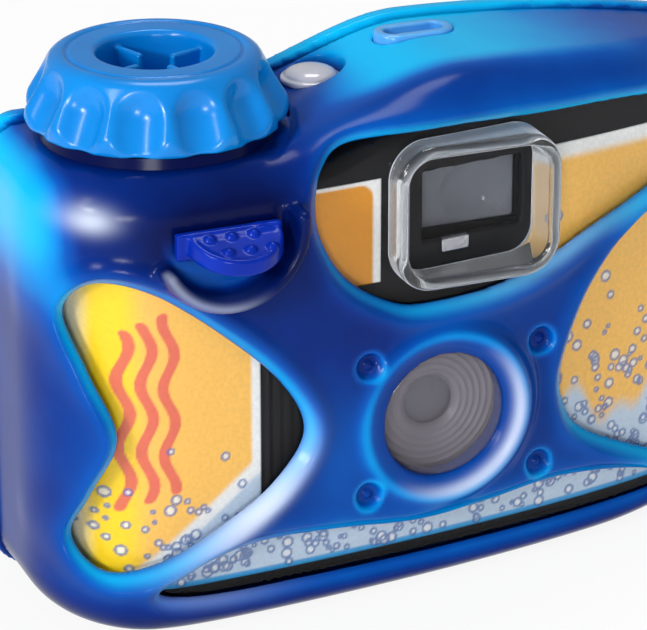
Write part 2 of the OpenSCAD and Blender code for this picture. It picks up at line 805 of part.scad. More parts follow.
// Printed sheet: side panels, a strip under the lens and two panels beside the finder
module label_outline() {
    left = -58;
    right = 49;
    low = 8;
    side = [28.5, 47];
    strip_h = 8.5;
    inner_x = 21;
    brow_x = -19;
    brow_top = finder_z + 6;
    brow_h = [16, 20];
    finder_room = [7.5, 3];
    finder_left = finder_x - finder_w / 2 - finder_room[0];
    finder_right = finder_x + finder_w / 2 + finder_room[1];
    translate([left, low]) square(side);
    translate([left, low]) square([right - left, strip_h]);
    translate([inner_x, low]) square([right - inner_x, brow_top - low]);
    translate([brow_x, brow_top - brow_h[0]]) square([finder_left - brow_x, brow_h[0]]);
    translate([finder_right, brow_top - brow_h[1]]) square([right - finder_right, brow_h[1]]);
}

module front_label() color("gold") {
    intersection() {
        face_layer(label_in, label_t, 0, deck_z);
        through_y(window_back_y, -far) label_outline();
    }
}

// Chassis: cartridge and roll chambers, light tunnel, film gate, lens board and finder box
module chamber(x, y, r, side, open_y) {
    translate([x, y, cover_floor + clear]) difference() {
        cylinder(plate_z - cover_floor - clear + eps, r + chamber_wall, r + chamber_wall, $fn = 72);
        translate([0, 0, -1]) cylinder(far, r, r, $fn = 72);
        translate([side > 0 ? 2 : -far - 2, open_y - y, -1]) cube([far, far, 2 * far]);
    }
}

module tunnel_box(w, h, y0, y1) {
    translate([-w / 2, y0, film_z - h / 2]) cube([w, y1 - y0, h]);
}

module pivot_pin(x, z) {
    translate([x, board_y + board_t - eps, z]) rotate([-90, 0, 0])
        cylinder(tunnel_y - board_y - board_t - clear, pivot_r, pivot_r);
}

module chassis() color("dimgray") {
    frame = [36, 24];
    tunnel = [38, 26];
    tunnel_wall = 1.2;
    roll_chamber_r = roll_r + 1.2;
    gate_half = knob_x - cartridge_r - 0.8;
    board = [26, 31];
    post_r = 1.2;
    difference() {
        union() {
            chamber(-knob_x, 0, chamber_r, 1, gate_y - clear);
            chamber(roll_x, roll_y, roll_chamber_r, -1, gate_y + gate_t / 2);
            tunnel_box(tunnel[0] + 2 * tunnel_wall, tunnel[1] + 2 * tunnel_wall, tunnel_y, gate_y + eps);
            tunnel_box(2 * (knob_x - cartridge_r), tunnel[1] + 2 * tunnel_wall,
                tunnel_y, tunnel_y + tunnel_wall);
            tunnel_box(2 * gate_half, film_w + 2, gate_y, gate_y + gate_t);
            translate([-board[0] / 2, board_y, film_z - 11]) cube([board[0], board_t, board[1]]);
            for (x = [-11.5, 11.5], z = [-9, 9])
                translate([x, tunnel_y + eps, film_z + z]) rotate([90, 0, 0])
                    cylinder(tunnel_y - board_y - board_t + 2 * eps, post_r, post_r);
            at_lens() translate([0, 0, -board_y - eps]) cylinder(2, lens_r + 1.4, lens_r + 1.4);
            translate([0, 0, plate_z]) linear_extrude(plate_t) hull() {
                translate([-knob_x, 0]) circle(chamber_r + chamber_wall / 2, $fn = 32);
                translate([roll_x, roll_y]) circle(roll_chamber_r + chamber_wall / 2, $fn = 32);
            }
            translate([finder_x - finder_w / 2 - finder_wall, finder_front_y, plate_top - eps])
                cube([finder_w + 2 * finder_wall, finder_back_y - finder_front_y, finder_h + 2 * finder_wall]);
            translate([disc_x, disc_y, plate_z]) {
                cylinder(disc_z - plate_z - clear, disc_pin_r + 1, disc_pin_r + 1);
                cylinder(disc_z - plate_z + 1.6, disc_pin_r, disc_pin_r);
            }
        }
        tunnel_box(tunnel[0], tunnel[1], tunnel_y + tunnel_wall, gate_y);
        tunnel_box(frame[0], frame[1], gate_y - 1, far);
        for (p = [[-knob_x, 0, chamber_r], [roll_x, roll_y, roll_chamber_r]]) {
            translate([p[0], p[1], cover_floor]) cylinder(plate_z - cover_floor, p[2], p[2], $fn = 72);
            translate([p[0], p[1], plate_z - 1]) cylinder(4, spool_end_r + 0.2, spool_end_r + 0.2);
        }
        at_lens() translate([0, 0, -far]) cylinder(2 * far, 2, 2);
        at_lens() translate([0, 0, -board_y]) cylinder(4, lens_r + fit, lens_r + fit);
        translate([finder_x - finder_w / 2, -far, plate_top + finder_wall])
            cube([finder_w, 2 * far, finder_h]);
        translate([sprocket_x, sprocket_y, sprocket_z - 2 - clear])
            cylinder(4 + 2 * clear, sprocket_r + tooth_h + clear, sprocket_r + tooth_h + clear);
        translate([sprocket_x, sprocket_y, film_z]) cylinder(far, axle_r + run_gap, axle_r + run_gap);
        translate([-lever_x - arm_len - slide_w / 2 - clear, arm_y - clear, slide_low - slide_travel - clear])
            cube([slide_w + 2 * clear, arm_t + 2 * clear, plate_top - slide_low + slide_travel + 2 * clear]);
    }
    pivot_pin(blade_x, blade_z);
    pivot_pin(striker_x, striker_z);
}

// Lenses
module taking_lens() color("lightcyan", 0.5) at_lens() intersection() {
    translate([0, 0, -board_y + fit]) cylinder(lens_len, lens_r, lens_r);
    translate([0, 0, -board_y - 8 + lens_len]) sphere(8, $fn = 96);
}

// Dished black ring that holds the lens in its seat
module lens_retainer() color("black") at_lens() difference() {
    translate([0, 0, -retainer_y - retainer_t]) cylinder(retainer_t, retainer_r, retainer_r, $fn = 72);
    translate([0, 0, -retainer_y - retainer_t - eps])
        cylinder(retainer_t + 2 * eps, lens_r - 0.6, lens_r + 0.8);
}

module finder_glass(t, y) {
    dish_r = 24;
    size = [finder_w - 2 * fit, t, finder_h - 2 * fit];
    translate([finder_x, y, finder_z]) difference() {
        translate(-size / 2) cube(size);
        translate([0, -dish_r - t / 2 + 0.7, 0]) sphere(dish_r, $fn = 128);
    }
}

module finder_front_lens() color("lightcyan", 0.5)
    finder_glass(front_lens_t, finder_front_y + front_lens_t / 2 + finder_inset);
module finder_eye_lens() color("lightcyan", 0.5)
    finder_glass(eye_lens_t, finder_back_y - eye_lens_t / 2 - finder_inset);

// Release, striker and shutter
module release_slide() color("darkorange") {
    tab_t = 1.2;
    tab_w = 6.8;
    tab_top = lever_z - 1.6 - clear;
    translate([-lever_x - arm_len, arm_y, 0]) {
        translate([-slide_w / 2, 0, slide_low]) cube([slide_w, arm_t, tab_top - slide_low]);
        translate([-tab_w / 2, 0, tab_top - tab_t]) cube([tab_w, arm_t, tab_t]);
    }
}

module blade_plate(pivot, y, t, ends) {
    through_y(y + t, y) difference() {
        for (e = ends)
            hull() {
                translate(pivot) circle(pivot_r + 1.3, $fn = 32);
                translate(e[0]) circle(e[1], $fn = 32);
            }
        translate(pivot) circle(pivot_r + run_gap);
    }
}

module striker() color("silver")
    blade_plate([striker_x, striker_z], board_y + board_t + clear, striker_t,
        [[striker_tip, arm_r], [striker_tail, arm_r]]);
module shutter_blade() color("dimgray")
    blade_plate([blade_x, blade_z], blade_y, blade_t, [[[0, film_z], blade_tip_r], [blade_tail, arm_r]]);

module blade_spring() color("silver") {
    translate([blade_x, blade_y + blade_t + clear + blade_wire, blade_z]) rotate([-90, 0, 0])
        coil(pivot_r + 0.6, blade_pitch, blade_turns, blade_wire);
}

// Film transport
module thumbwheel() color("dimgray") {
    low = plate_top + clear;
    wheel_r = 10.4;
    teeth = 24;
    key_low = film_z + spool_half + 0.4;
    translate([-knob_x, 0, 0]) {
        difference() {
            union() {
                translate([0, 0, low]) cylinder(2.6, wheel_r, wheel_r, $fn = 72);
                translate([0, 0, low]) cylinder(shaft_low - low - clear, shaft_r + 1.2, shaft_r + 1.2);
            }
            for (k = [0:teeth - 1])
                rotate([0, 0, 360 * k / teeth]) translate([wheel_r + 0.5, 0, low - 1])
                    cylinder(6, 1, 1, $fn = 16);
            translate([-tang[0] / 2 - fit, -tang[1] / 2 - fit, shaft_low - tang[2] - 0.2])
                cube([tang[0] + 2 * fit, tang[1] + 2 * fit, far]);
        }
        translate([0, 0, key_low]) cylinder(low - key_low + eps, key_r, key_r);
    }
}

module wheel_pawl() color("dimgray") {
    pawl_h = 2.4;
    translate([-knob_x + 11.4, -1, plate_top]) cube([1.2, 9, pawl_h]);
    translate([-knob_x + 11.4, 6, plate_top]) cube([5, 2, pawl_h]);
}

module sprocket_wheel() color("dimgray") {
    teeth = 8;
    finger_r = 1.8;
    axle_low = film_z + 13;
    translate([sprocket_x, sprocket_y, 0]) {
        translate([0, 0, sprocket_z - 2]) cylinder(4, sprocket_r, sprocket_r, $fn = 64);
        for (k = [0:teeth - 1])
            rotate([0, 0, 360 * k / teeth]) translate([sprocket_r - 0.5, 0, sprocket_z])
                rotate([0, 90, 0]) cylinder(0.5 + tooth_h, 1, 0.5, $fn = 24);
        translate([0, 0, axle_low]) cylinder(disc_z + 1 - axle_low, axle_r, axle_r);
        translate([0, 0, disc_z - 0.2]) cylinder(1.2, finger_r, finger_r);
    }
}

module counter_disc() color("white") {
    teeth = 26;
    translate([disc_x, disc_y, disc_z]) difference() {
        cylinder(0.8, disc_r, disc_r, $fn = 72);
        for (k = [0:teeth - 1])
            rotate([0, 0, 360 * k / teeth]) translate([disc_r + 0.2, 0, -1]) cylinder(3, 0.5, 0.5, $fn = 16);
        translate([0, 0, -1]) cylinder(3, disc_pin_r + run_gap, disc_pin_r + run_gap);
    }
}

// Film cartridge and film
module cartridge_shell() color("goldenrod") {
    wall_t = 0.5;
    slit = 0.8;
    len = cartridge_len - 2;
    translate([-knob_x, 0, film_z - len / 2]) difference() {
        union() {
            cylinder(len, cartridge_r, cartridge_r, $fn = 72);
            translate([2, film_y - lip_t / 2, 0]) cube([cartridge_r - 2, lip_t, len]);
        }
        translate([0, 0, -1]) cylinder(far, cartridge_r - wall_t, cartridge_r - wall_t, $fn = 72);
        translate([4, film_y - slit / 2 + film_t / 2, -1]) cube([far, slit, far]);
    }
}

module cartridge_caps() color("dimgray") {
    cap_t = 1;
    for (z = [film_z - cartridge_len / 2, film_z + cartridge_len / 2 - cap_t + fit])
        translate([-knob_x, 0, z]) difference() {
            cylinder(cap_t - fit, cartridge_r, cartridge_r, $fn = 72);
            translate([0, 0, -1]) cylinder(4, spool_end_r + run_gap, spool_end_r + run_gap);
        }
}

module cartridge_spool() color("black") {
    translate([-knob_x, 0, 0]) difference() {
        union() {
            translate([0, 0, spool_low]) cylinder(2 * spool_half, spool_end_r, spool_end_r);
            translate([0, 0, film_z - film_w / 2 - 1]) cylinder(film_w + 2, spool_core_r, spool_core_r);
        }
        translate([0, 0, film_z + spool_half - 2]) cylinder(4, key_r + fit, key_r + fit);
    }
}

module film_strip() color("darkslategray") {
    start_x = -knob_x + cartridge_r + 0.1;
    difference() {
        translate([start_x, film_y, film_z - film_w / 2]) cube([roll_x - start_x, film_t, film_w]);
        translate([sprocket_x - 5, film_y - 1, sprocket_z - 1.4]) cube([10, 3, 2.8]);
    }
}

module film_roll() color("darkslategray") {
    translate([roll_x, roll_y, film_z - film_w / 2]) difference() {
        cylinder(film_w, roll_r, roll_r, $fn = 72);
        translate([0, 0, -1]) cylinder(far, roll_core_r + fit, roll_core_r + fit);
    }
}

module supply_spool() color("dimgray") {
    flange_t = 1;
    translate([roll_x, roll_y, 0]) {
        translate([0, 0, spool_low]) cylinder(plate_top - spool_low, spool_end_r, spool_end_r);
        translate([0, 0, film_z - film_w / 2 - flange_t]) cylinder(film_w + 2, roll_core_r, roll_core_r);
        translate([0, 0, film_z - film_w / 2 - flange_t - fit])
            cylinder(flange_t, roll_r + 0.6, roll_r + 0.6, $fn = 72);
    }
}

front_shell();
rear_shell();
case_gasket();
left_window();
finder_window();
right_window();
lower_window();
lens_port();
eyepiece_window();
counter_lens();
slot_insert();
strap_eye();
advance_knob();
knob_shaft();
knob_gland();
knob_oring();
shutter_lever();
lever_shaft();
lever_gland();
lever_oring();
lever_arm();
lever_spring();
front_cover();
back_cover();
front_label();
chassis();
taking_lens();
lens_retainer();
finder_front_lens();
finder_eye_lens();
release_slide();
striker();
shutter_blade();
blade_spring();
thumbwheel();
wheel_pawl();
sprocket_wheel();
counter_disc();
cartridge_shell();
cartridge_caps();
cartridge_spool();
film_strip();
film_roll();
supply_spool();
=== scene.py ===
"""Looks of a waterproof single-use film camera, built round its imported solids.

The moulded case, knob and lever are modelled as smooth distance fields in millimetres and meshed here.
Every piece stands where its solid stands: the lens looks along -Y and the case rests on z = 0.
"""

import json
import logging
import math
from dataclasses import dataclass
from enum import Enum
from functools import reduce
from typing import Callable, Sequence

import bpy
import numpy as np
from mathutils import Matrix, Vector

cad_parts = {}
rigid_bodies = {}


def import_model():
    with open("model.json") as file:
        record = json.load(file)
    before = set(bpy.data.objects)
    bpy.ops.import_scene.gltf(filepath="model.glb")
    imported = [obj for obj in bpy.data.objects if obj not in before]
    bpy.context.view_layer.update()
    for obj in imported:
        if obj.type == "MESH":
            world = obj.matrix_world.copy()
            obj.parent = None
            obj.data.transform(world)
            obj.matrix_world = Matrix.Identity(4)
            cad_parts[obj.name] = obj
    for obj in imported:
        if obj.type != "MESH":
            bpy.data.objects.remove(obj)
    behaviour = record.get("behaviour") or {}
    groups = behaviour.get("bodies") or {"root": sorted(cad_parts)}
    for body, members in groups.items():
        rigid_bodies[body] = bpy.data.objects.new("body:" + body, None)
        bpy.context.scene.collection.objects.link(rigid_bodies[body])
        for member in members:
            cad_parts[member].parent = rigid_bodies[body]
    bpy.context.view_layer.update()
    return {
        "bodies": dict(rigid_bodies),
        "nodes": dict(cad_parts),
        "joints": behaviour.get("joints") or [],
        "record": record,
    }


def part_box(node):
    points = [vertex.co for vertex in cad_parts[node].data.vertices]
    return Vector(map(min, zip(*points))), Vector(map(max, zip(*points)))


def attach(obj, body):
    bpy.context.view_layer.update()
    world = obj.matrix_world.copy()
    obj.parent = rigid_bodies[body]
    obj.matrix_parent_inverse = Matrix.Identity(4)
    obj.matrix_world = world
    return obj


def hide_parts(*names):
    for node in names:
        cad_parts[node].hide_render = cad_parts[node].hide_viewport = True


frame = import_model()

MM = 0.001
LOG = logging.getLogger("camera_looks")

Array = np.ndarray
Field = Callable[[Array, Array, Array], Array]
Pair = tuple[float, float]
Points = Sequence[Pair]
Panel = tuple[float, float, float, float]
Colour = tuple[float, float, float, float]


class Body(Enum):
    """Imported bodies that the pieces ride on."""

    CASE = "case"
    ADVANCE = "advance"
    LEVER = "lever"


class Window(Enum):
    """Clear windows in the front of the case."""

    LEFT = "left"
    FINDER = "finder"
    RIGHT = "right"
    LOWER = "lower"


class Slot(Enum):
    """Material slots of the record."""

    CASE_BLUE = "case_blue"
    GLAND_BLUE = "gland_blue"
    CLEAR_PANE = "clear_pane"
    PORT_GLASS = "port_glass"
    COUNTER_DOME = "counter_dome"
    SLOT_BLUE = "slot_blue"
    KNOB_BLUE = "knob_blue"
    LEVER_BLUE = "lever_blue"
    SEAL_RUBBER = "seal_rubber"
    STEEL = "steel"
    INNER_BLACK = "inner_black"
    LABEL_PRINT = "label_print"
    LENS_CLEAR = "lens_clear"
    RELEASE_ORANGE = "release_orange"
    DISC_WHITE = "disc_white"
    CARTRIDGE_METAL = "cartridge_metal"
    FILM = "film"


# Shapes as distance fields, negative inside the solid


def ease(low: float, high: float, value: Array) -> Array:
    """Smooth step from 0 at low to 1 at high, where low may be the larger."""
    t = np.clip((value - low) / (high - low), 0.0, 1.0)
    return t * t * (3.0 - 2.0 * t)


def bell(value: Array, middle: float, run: float) -> Array:
    """Soft hump, 1 at middle and fading over run to both sides."""
    return np.exp(-(((value - middle) / run) ** 2))


def common(*parts: Array) -> Array:
    """Common part of solids, with sharp edges."""
    return reduce(np.maximum, parts)


def cut_round(a: Array, b: Array, r: Array | float) -> Array:
    """Common part of two solids, with a round outer edge of radius r."""
    return np.minimum(np.maximum(a, b), -r) + np.hypot(np.maximum(a + r, 0), np.maximum(b + r, 0))


def join_round(a: Array, b: Array, r: float) -> Array:
    """Union of two solids, with a fillet of radius r in the corner."""
    return np.maximum(np.minimum(a, b), r) - np.hypot(np.maximum(r - a, 0), np.maximum(r - b, 0))


def rounded_rectangle(x: Array, z: Array, width: float, height: float, r: float) -> Array:
    """Measures a rectangle with round corners, centred on the origin.

    Args:
        x: places across.
        z: places up.
        width: full size across.
        height: full size up.
        r: radius of the corners.

    Returns:
        Distance to the rectangle.
    """
    dx = np.abs(x) - width / 2 + r
    dz = np.abs(z) - height / 2 + r
    return np.hypot(np.maximum(dx, 0), np.maximum(dz, 0)) + np.minimum(np.maximum(dx, dz), 0) - r


def segment(px: Array, pz: Array, a: Pair, b: Pair) -> Array:
    """Measures the straight stretch between two points.

    Args:
        px: places across.
        pz: places up.
        a: start of the stretch.
        b: end of the stretch.

    Returns:
        Distance to the stretch.
    """
    run = (b[0] - a[0], b[1] - a[1])
    t = np.clip(((px - a[0]) * run[0] + (pz - a[1]) * run[1]) / (run[0] ** 2 + run[1] ** 2), 0, 1)
    return np.hypot(px - a[0] - t * run[0], pz - a[1] - t * run[1])


def smooth_curve(points: Points, steps: int) -> Array:
    """Closed curve through the points.

    Args:
        points: corners of the outline, in order.
        steps: samples between two corners.

    Returns:
        Samples along the curve, one row each.
    """
    b = np.array(points)
    a, c, d = np.roll(b, 1, 0), np.roll(b, -1, 0), np.roll(b, -2, 0)
    t = (np.arange(steps) / steps)[None, :, None]
    a, b, c, d = (p[:, None, :] for p in (a, b, c, d))
    curve = 2 * b + (c - a) * t + (2 * a - 5 * b + 4 * c - d) * t**2 + (3 * b - a - 3 * c + d) * t**3
    return (curve / 2).reshape(-1, 2)


class Outline:
    """Closed smooth outline on the front, with its signed distance kept on a raster."""

    pitch = 0.4
    margin = 10.0
    steps = 8

    def __init__(self, points: Points) -> None:
        """Samples the curve and measures the raster round it.

        Args:
            points: corners of the outline, in order.
        """
        curve = smooth_curve(points, self.steps)
        self.low = curve.min(0) - self.margin
        size = np.ceil((curve.max(0) + self.margin - self.low) / self.pitch).astype(int) + 1
        px, pz = (self.low[k] + self.pitch * np.arange(size[k]) for k in (0, 1))
        px, pz = np.meshgrid(px, pz, indexing="ij")
        near = np.full(px.shape, np.inf)
        inside = np.zeros(px.shape, bool)
        for a, b in zip(curve, np.roll(curve, -1, 0)):
            near = np.minimum(near, segment(px, pz, a, b))
            if a[1] != b[1]:
                crossed = (a[1] > pz) != (b[1] > pz)
                inside ^= crossed & (px < a[0] + (pz - a[1]) * (b[0] - a[0]) / (b[1] - a[1]))
        self.raster = np.where(inside, -near, near)

    def distance(self, x: Array, z: Array) -> Array:
        """Reads the raster between its samples.

        Args:
            x, z: places on the front.

        Returns:
            Signed distance, negative inside the outline.
        """
        within = 1.001
        u, v = ((p - low) / self.pitch for p, low in zip((x, z), self.low))
        u = np.clip(u, 0, self.raster.shape[0] - within)
        v = np.clip(v, 0, self.raster.shape[1] - within)
        u, v = np.broadcast_arrays(u, v)
        i, j = u.astype(int), v.astype(int)
        s, t = u - i, v - j
        grid = self.raster
        low = grid[i, j] * (1 - s) + grid[i + 1, j] * s
        high = grid[i, j + 1] * (1 - s) + grid[i + 1, j + 1] * s
        return low * (1 - t) + high * t


# Meshes

CELL_CORNERS = np.array([(i, j, k) for i in (0, 1) for j in (0, 1) for k in (0, 1)])


def net_points(values: Array, active: Array) -> Array:
    """Places one point in each cell that the surface crosses.

    Args:
        values: distances on the sampling grid.
        active: lowest corner of each crossed cell, one row each.

    Returns:
        Mean of the crossings on the cell's edges, in grid steps.
    """
    total = np.zeros(active.shape)
    count = np.zeros(len(active))
    for a in CELL_CORNERS:
        for axis in np.flatnonzero(a == 0):
            b = a.copy()
            b[axis] = 1
            fa, fb = (values[tuple((active + c).T)] for c in (a, b))
            crossed = (fa < 0) != (fb < 0)
            share = np.where(crossed, fa / np.where(crossed, fa - fb, 1), 0)
            total += np.where(crossed[:, None], a + share[:, None] * (b - a), 0)
            count += crossed
    return active + total / count[:, None]


def net_faces(inside: Array, number: Array) -> Array:
    """Joins the points of the four cells round each grid edge that crosses the surface.

    Args:
        inside: whether each grid corner lies in the solid.
        number: number of the point in each cell.

    Returns:
        Four-sided faces that look outward.
    """
    cells = number.shape
    faces = []
    for axis in range(3):
        u, v = (axis + 1) % 3, (axis + 2) % 3
        start = np.argwhere(inside != np.roll(inside, -1, axis))
        keep = (start[:, axis] < cells[axis]) & (start[:, u] > 0) & (start[:, v] > 0)
        keep &= (start[:, u] < cells[u]) & (start[:, v] < cells[v])
        start = start[keep]
        step_u, step_v = (np.eye(3, dtype=int)[k] for k in (u, v))
        ring = [start, start - step_u, start - step_u - step_v, start - step_v]
        quads = np.stack([number[tuple(c.T)] for c in ring], 1)
        outward = inside[tuple(start.T)]
        faces.append(np.where(outward[:, None], quads, quads[:, ::-1]))
    return np.concatenate(faces)


def settle(shape: Field, points: Array, reach: float) -> Array:
    """Moves points along the field's slope onto its surface.

    Args:
        shape: field of the solid.
        points: points near the surface.
        reach: most that a point moves along each axis in a pass, for a slope of 1.

    Returns:
        The moved points.
    """
    nudge, least_slope, passes = 0.02, 0.05, 3
    for _ in range(passes):
        value = shape(*points.T)
        ahead_less_behind = [shape(*(points + d).T) - shape(*(points - d).T) for d in nudge * np.eye(3)]
        slope = np.stack(ahead_less_behind, 1) / (2 * nudge)
        steep = np.maximum((slope**2).sum(1), least_slope)
        points = points - np.clip(value / steep, -reach, reach)[:, None] * slope
    return points


def net_mesh(shape: Field, low: Sequence[float], high: Sequence[float], step: float) -> tuple[Array, Array]:
    """Meshes a distance field with a surface net and pulls its points onto the surface.

    Args:
        shape: field that is negative inside the solid.
        low: lowest corner of the space that holds it.
        high: highest corner of that space.
        step: pitch of the sampling grid.

    Returns:
        Points and four-sided faces.
    """
    before, after, pull = 1.5 * step, 1.6 * step, 0.45 * step
    axes = [np.arange(a - before, b + after, step) for a, b in zip(low, high)]
    sparse = np.meshgrid(*axes, indexing="ij", sparse=True)
    values = np.array(np.broadcast_to(shape(*sparse), [len(a) for a in axes]))
    inside = values < 0
    cells = np.array(values.shape) - 1
    filled = np.zeros(cells, int)
    for i, j, k in CELL_CORNERS:
        filled += inside[i : i + cells[0], j : j + cells[1], k : k + cells[2]]
    active = np.argwhere((filled > 0) & (filled < len(CELL_CORNERS)))
    points = np.array([a[0] for a in axes]) + step * net_points(values, active)
    number = np.full(cells, -1)
    number[tuple(active.T)] = np.arange(len(active))
    return settle(shape, points, pull), net_faces(inside, number)


def fan(a: Array, b: Array, hub: int) -> Array:
    """Triangles from the edges a to b of a ring to one hub point, the hub repeated."""
    return np.stack([a, b, np.full(len(a), hub), np.full(len(a), hub)], 1)


def lathe(profile: Points, turns: int = 96) -> tuple[Array, Array]:
    """Turns a profile round the Z axis.

    Args:
        profile: (radius, height) points from axis to axis, or a loop clear of the axis for a ring.
        turns: steps round the axis.

    Returns:
        Points and faces of the closed solid.
    """
    angle = 2 * math.pi * np.arange(turns) / turns
    ring_only = profile[0][0] > 0
    rings = np.array(profile if ring_only else profile[1:-1])
    ring = np.stack([np.outer(rings[:, 0], np.cos(angle)), np.outer(rings[:, 0], np.sin(angle))], -1)
    heights = np.repeat(rings[:, 1:], turns, 1)[..., None]
    points = np.concatenate([ring, heights], -1).reshape(-1, 3)
    k = np.arange(turns)
    q = (k + 1) % turns
    pairs = [(j * turns, (j + 1) % len(rings) * turns) for j in range(len(rings) - 1 + ring_only)]
    sides = [np.stack([a + k, a + q, b + q, b + k], 1) for a, b in pairs]
    if ring_only:
        return points, np.concatenate(sides)
    poles = np.array([[0, 0, profile[0][1]], [0, 0, profile[-1][1]]])
    last = (len(rings) - 1) * turns
    caps = [fan(q, k, len(points)), fan(last + k, last + q, len(points) + 1)]
    return np.concatenate([points, poles]), np.concatenate(sides + caps)


def face_front(points: Array, z: float) -> Array:
    """Turns a lathed piece to look along -Y, with its axis at height z."""
    return np.stack([points[:, 0], -points[:, 2], points[:, 1] + z], 1)


def solid_box(node: str) -> tuple[Array, Array]:
    """Lowest and highest corners of a solid, in millimetres."""
    low, high = (np.array(corner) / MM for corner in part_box(node))
    return low, high


def add_mesh(name: str, points: Array, faces: Array, **layers: Array) -> bpy.types.Object:
    """Makes a smooth mesh object.

    Args:
        name: name of the piece.
        points: corners in millimetres.
        faces: four corners each, the last repeated on a triangle.
        layers: named point values, single numbers or colours.

    Returns:
        The linked object.
    """
    mesh = bpy.data.meshes.new(name)
    sizes = np.where(faces[:, 2] == faces[:, 3], 3, 4)
    corners = faces.ravel()[(np.arange(4)[None, :] < sizes[:, None]).ravel()]
    mesh.vertices.add(len(points))
    mesh.vertices.foreach_set("co", (points * MM).astype(np.float32).ravel())
    mesh.loops.add(len(corners))
    mesh.loops.foreach_set("vertex_index", corners.astype(np.int32))
    mesh.polygons.add(len(faces))
    mesh.polygons.foreach_set("loop_start", (np.cumsum(sizes) - sizes).astype(np.int32))
    mesh.polygons.foreach_set("use_smooth", np.ones(len(faces), bool))
    mesh.update(calc_edges=True)
    mesh.validate()
    for layer, values in layers.items():
        colour = values.ndim == 2
        made = mesh.attributes.new(layer, "FLOAT_COLOR" if colour else "FLOAT", "POINT")
        made.data.foreach_set("color" if colour else "value", values.astype(np.float32).ravel())
    piece = bpy.data.objects.new(name, mesh)
    bpy.context.scene.collection.objects.link(piece)
    return piece


def place(piece: bpy.types.Object, body: Body, slot: Slot, finish: bpy.types.Material, *nodes: str) -> None:
    """Dresses a piece, seats it on its body and lets it stand for its solids.

    Args:
        piece: the new object.
        body: body that carries it.
        slot: material slot of the record; not used.
        finish: its material.
        nodes: solids that it replaces.
    """
    piece.data.materials.clear()
    piece.data.materials.append(finish)
    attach(piece, body.value)
    if nodes:
        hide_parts(*nodes)
    LOG.info("piece %s on %s: %d faces", piece.name, body.value, len(piece.data.polygons))


# Finishes


def linear(code: str) -> Colour:
    """Turns an sRGB hex colour into linear RGBA."""
    parts = (int(code[k : k + 2], 16) / 255 for k in (1, 3, 5))
    return (*(c / 12.92 if c <= 0.04045 else ((c + 0.055) / 1.055) ** 2.4 for c in parts), 1.0)


def add_node(
    tree: bpy.types.NodeTree,
    kind: str,
    inputs: dict[str | int, object] | None = None,
    stops: Sequence[tuple[float, str]] = (),
    **settings: object,
) -> bpy.types.Node:
    """Adds a shader node with its settings and links.

    Args:
        tree: node tree of the material or world.
        kind: node type without its ShaderNode prefix.
        inputs: socket to a value, or to the output socket that feeds it.
        stops: (place, hex colour) pairs of a colour ramp.
        settings: attributes of the node.

    Returns:
        The new node.
    """
    node = tree.nodes.new("ShaderNode" + kind)
    for name, value in settings.items():
        setattr(node, name, value)
    for key, value in (inputs or {}).items():
        if isinstance(value, bpy.types.NodeSocket):
            tree.links.new(value, node.inputs[key])
        else:
            node.inputs[key].default_value = value
    for k, (where, code) in enumerate(stops):
        marks = node.color_ramp.elements
        mark = marks[k] if k < 2 else marks.new(where)
        mark.position, mark.color = where, linear(code)
    return node


def clouds(tree: bpy.types.NodeTree, width_mm: float, detail: float = 2.0) -> bpy.types.NodeSocket:
    """Spreads soft noise of a real width over the piece.

    Args:
        tree: node tree of the material.
        width_mm: width of one cloud or grain.
        detail: finer layers of the noise.

    Returns:
        Strength of the noise, from 0 to 1.
    """
    where = add_node(tree, "TexCoord").outputs["Object"]
    scale = 1 / (width_mm * MM)
    return add_node(tree, "TexNoise", {"Vector": where, "Scale": scale, "Detail": detail}).outputs["Fac"]


def grain(tree: bpy.types.NodeTree, grit_mm: float, height_mm: float) -> bpy.types.NodeSocket:
    """Bumps a surface with noise of a real grain size.

    Args:
        tree: node tree of the material.
        grit_mm: width of one grain.
        height_mm: depth of the grain.

    Returns:
        Normal output of the bump.
    """
    height = clouds(tree, grit_mm)
    bump = add_node(tree, "Bump", {"Height": height, "Distance": height_mm * MM, "Strength": 1.0})
    return bump.outputs["Normal"]


class Finish:
    """Finish of a real material, built from shader nodes."""

    name: str

    def surface(self, tree: bpy.types.NodeTree) -> bpy.types.NodeSocket:
        """Output of the finish's last shader."""
        raise NotImplementedError

    def material(self) -> bpy.types.Material:
        """Builds the node material.

        Returns:
            The finish, ready for a piece.
        """
        made = bpy.data.materials.new(self.name)
        made.use_nodes = True
        made.node_tree.nodes.clear()
        add_node(made.node_tree, "OutputMaterial", {"Surface": self.surface(made.node_tree)})
        return made


@dataclass(frozen=True)
class Moulding(Finish):
    """Plain moulded plastic: even colour with a faint flow mottle and a fine tool grain."""

    name: str
    colour: str
    shade: str
    roughness: float
    ior: float = 1.5
    coat: float = 0.0
    coat_roughness: float = 0.08
    # A polished tool leaves a grain of about 0.05 mm, too fine to show, so it is drawn coarser.
    grit_mm: float = 0.35
    height_mm: float = 0.004
    mottle_mm: float = 9.0

    def surface(self, tree: bpy.types.NodeTree) -> bpy.types.NodeSocket:
        """Adds the shader nodes.

        Args:
            tree: node tree of the material.

        Returns:
            Output of the last shader.
        """
        stops = [(0.3, self.shade), (0.7, self.colour)]
        tone = add_node(tree, "ValToRGB", {0: clouds(tree, self.mottle_mm)}, stops)
        skin = add_node(tree, "BsdfPrincipled", {
            "Base Color": tone.outputs[0],
            "Roughness": self.roughness,
            "IOR": self.ior,
            "Coat Weight": self.coat,
            "Coat Roughness": self.coat_roughness,
            "Normal": grain(tree, self.grit_mm, self.height_mm),
        })
        return skin.outputs[0]


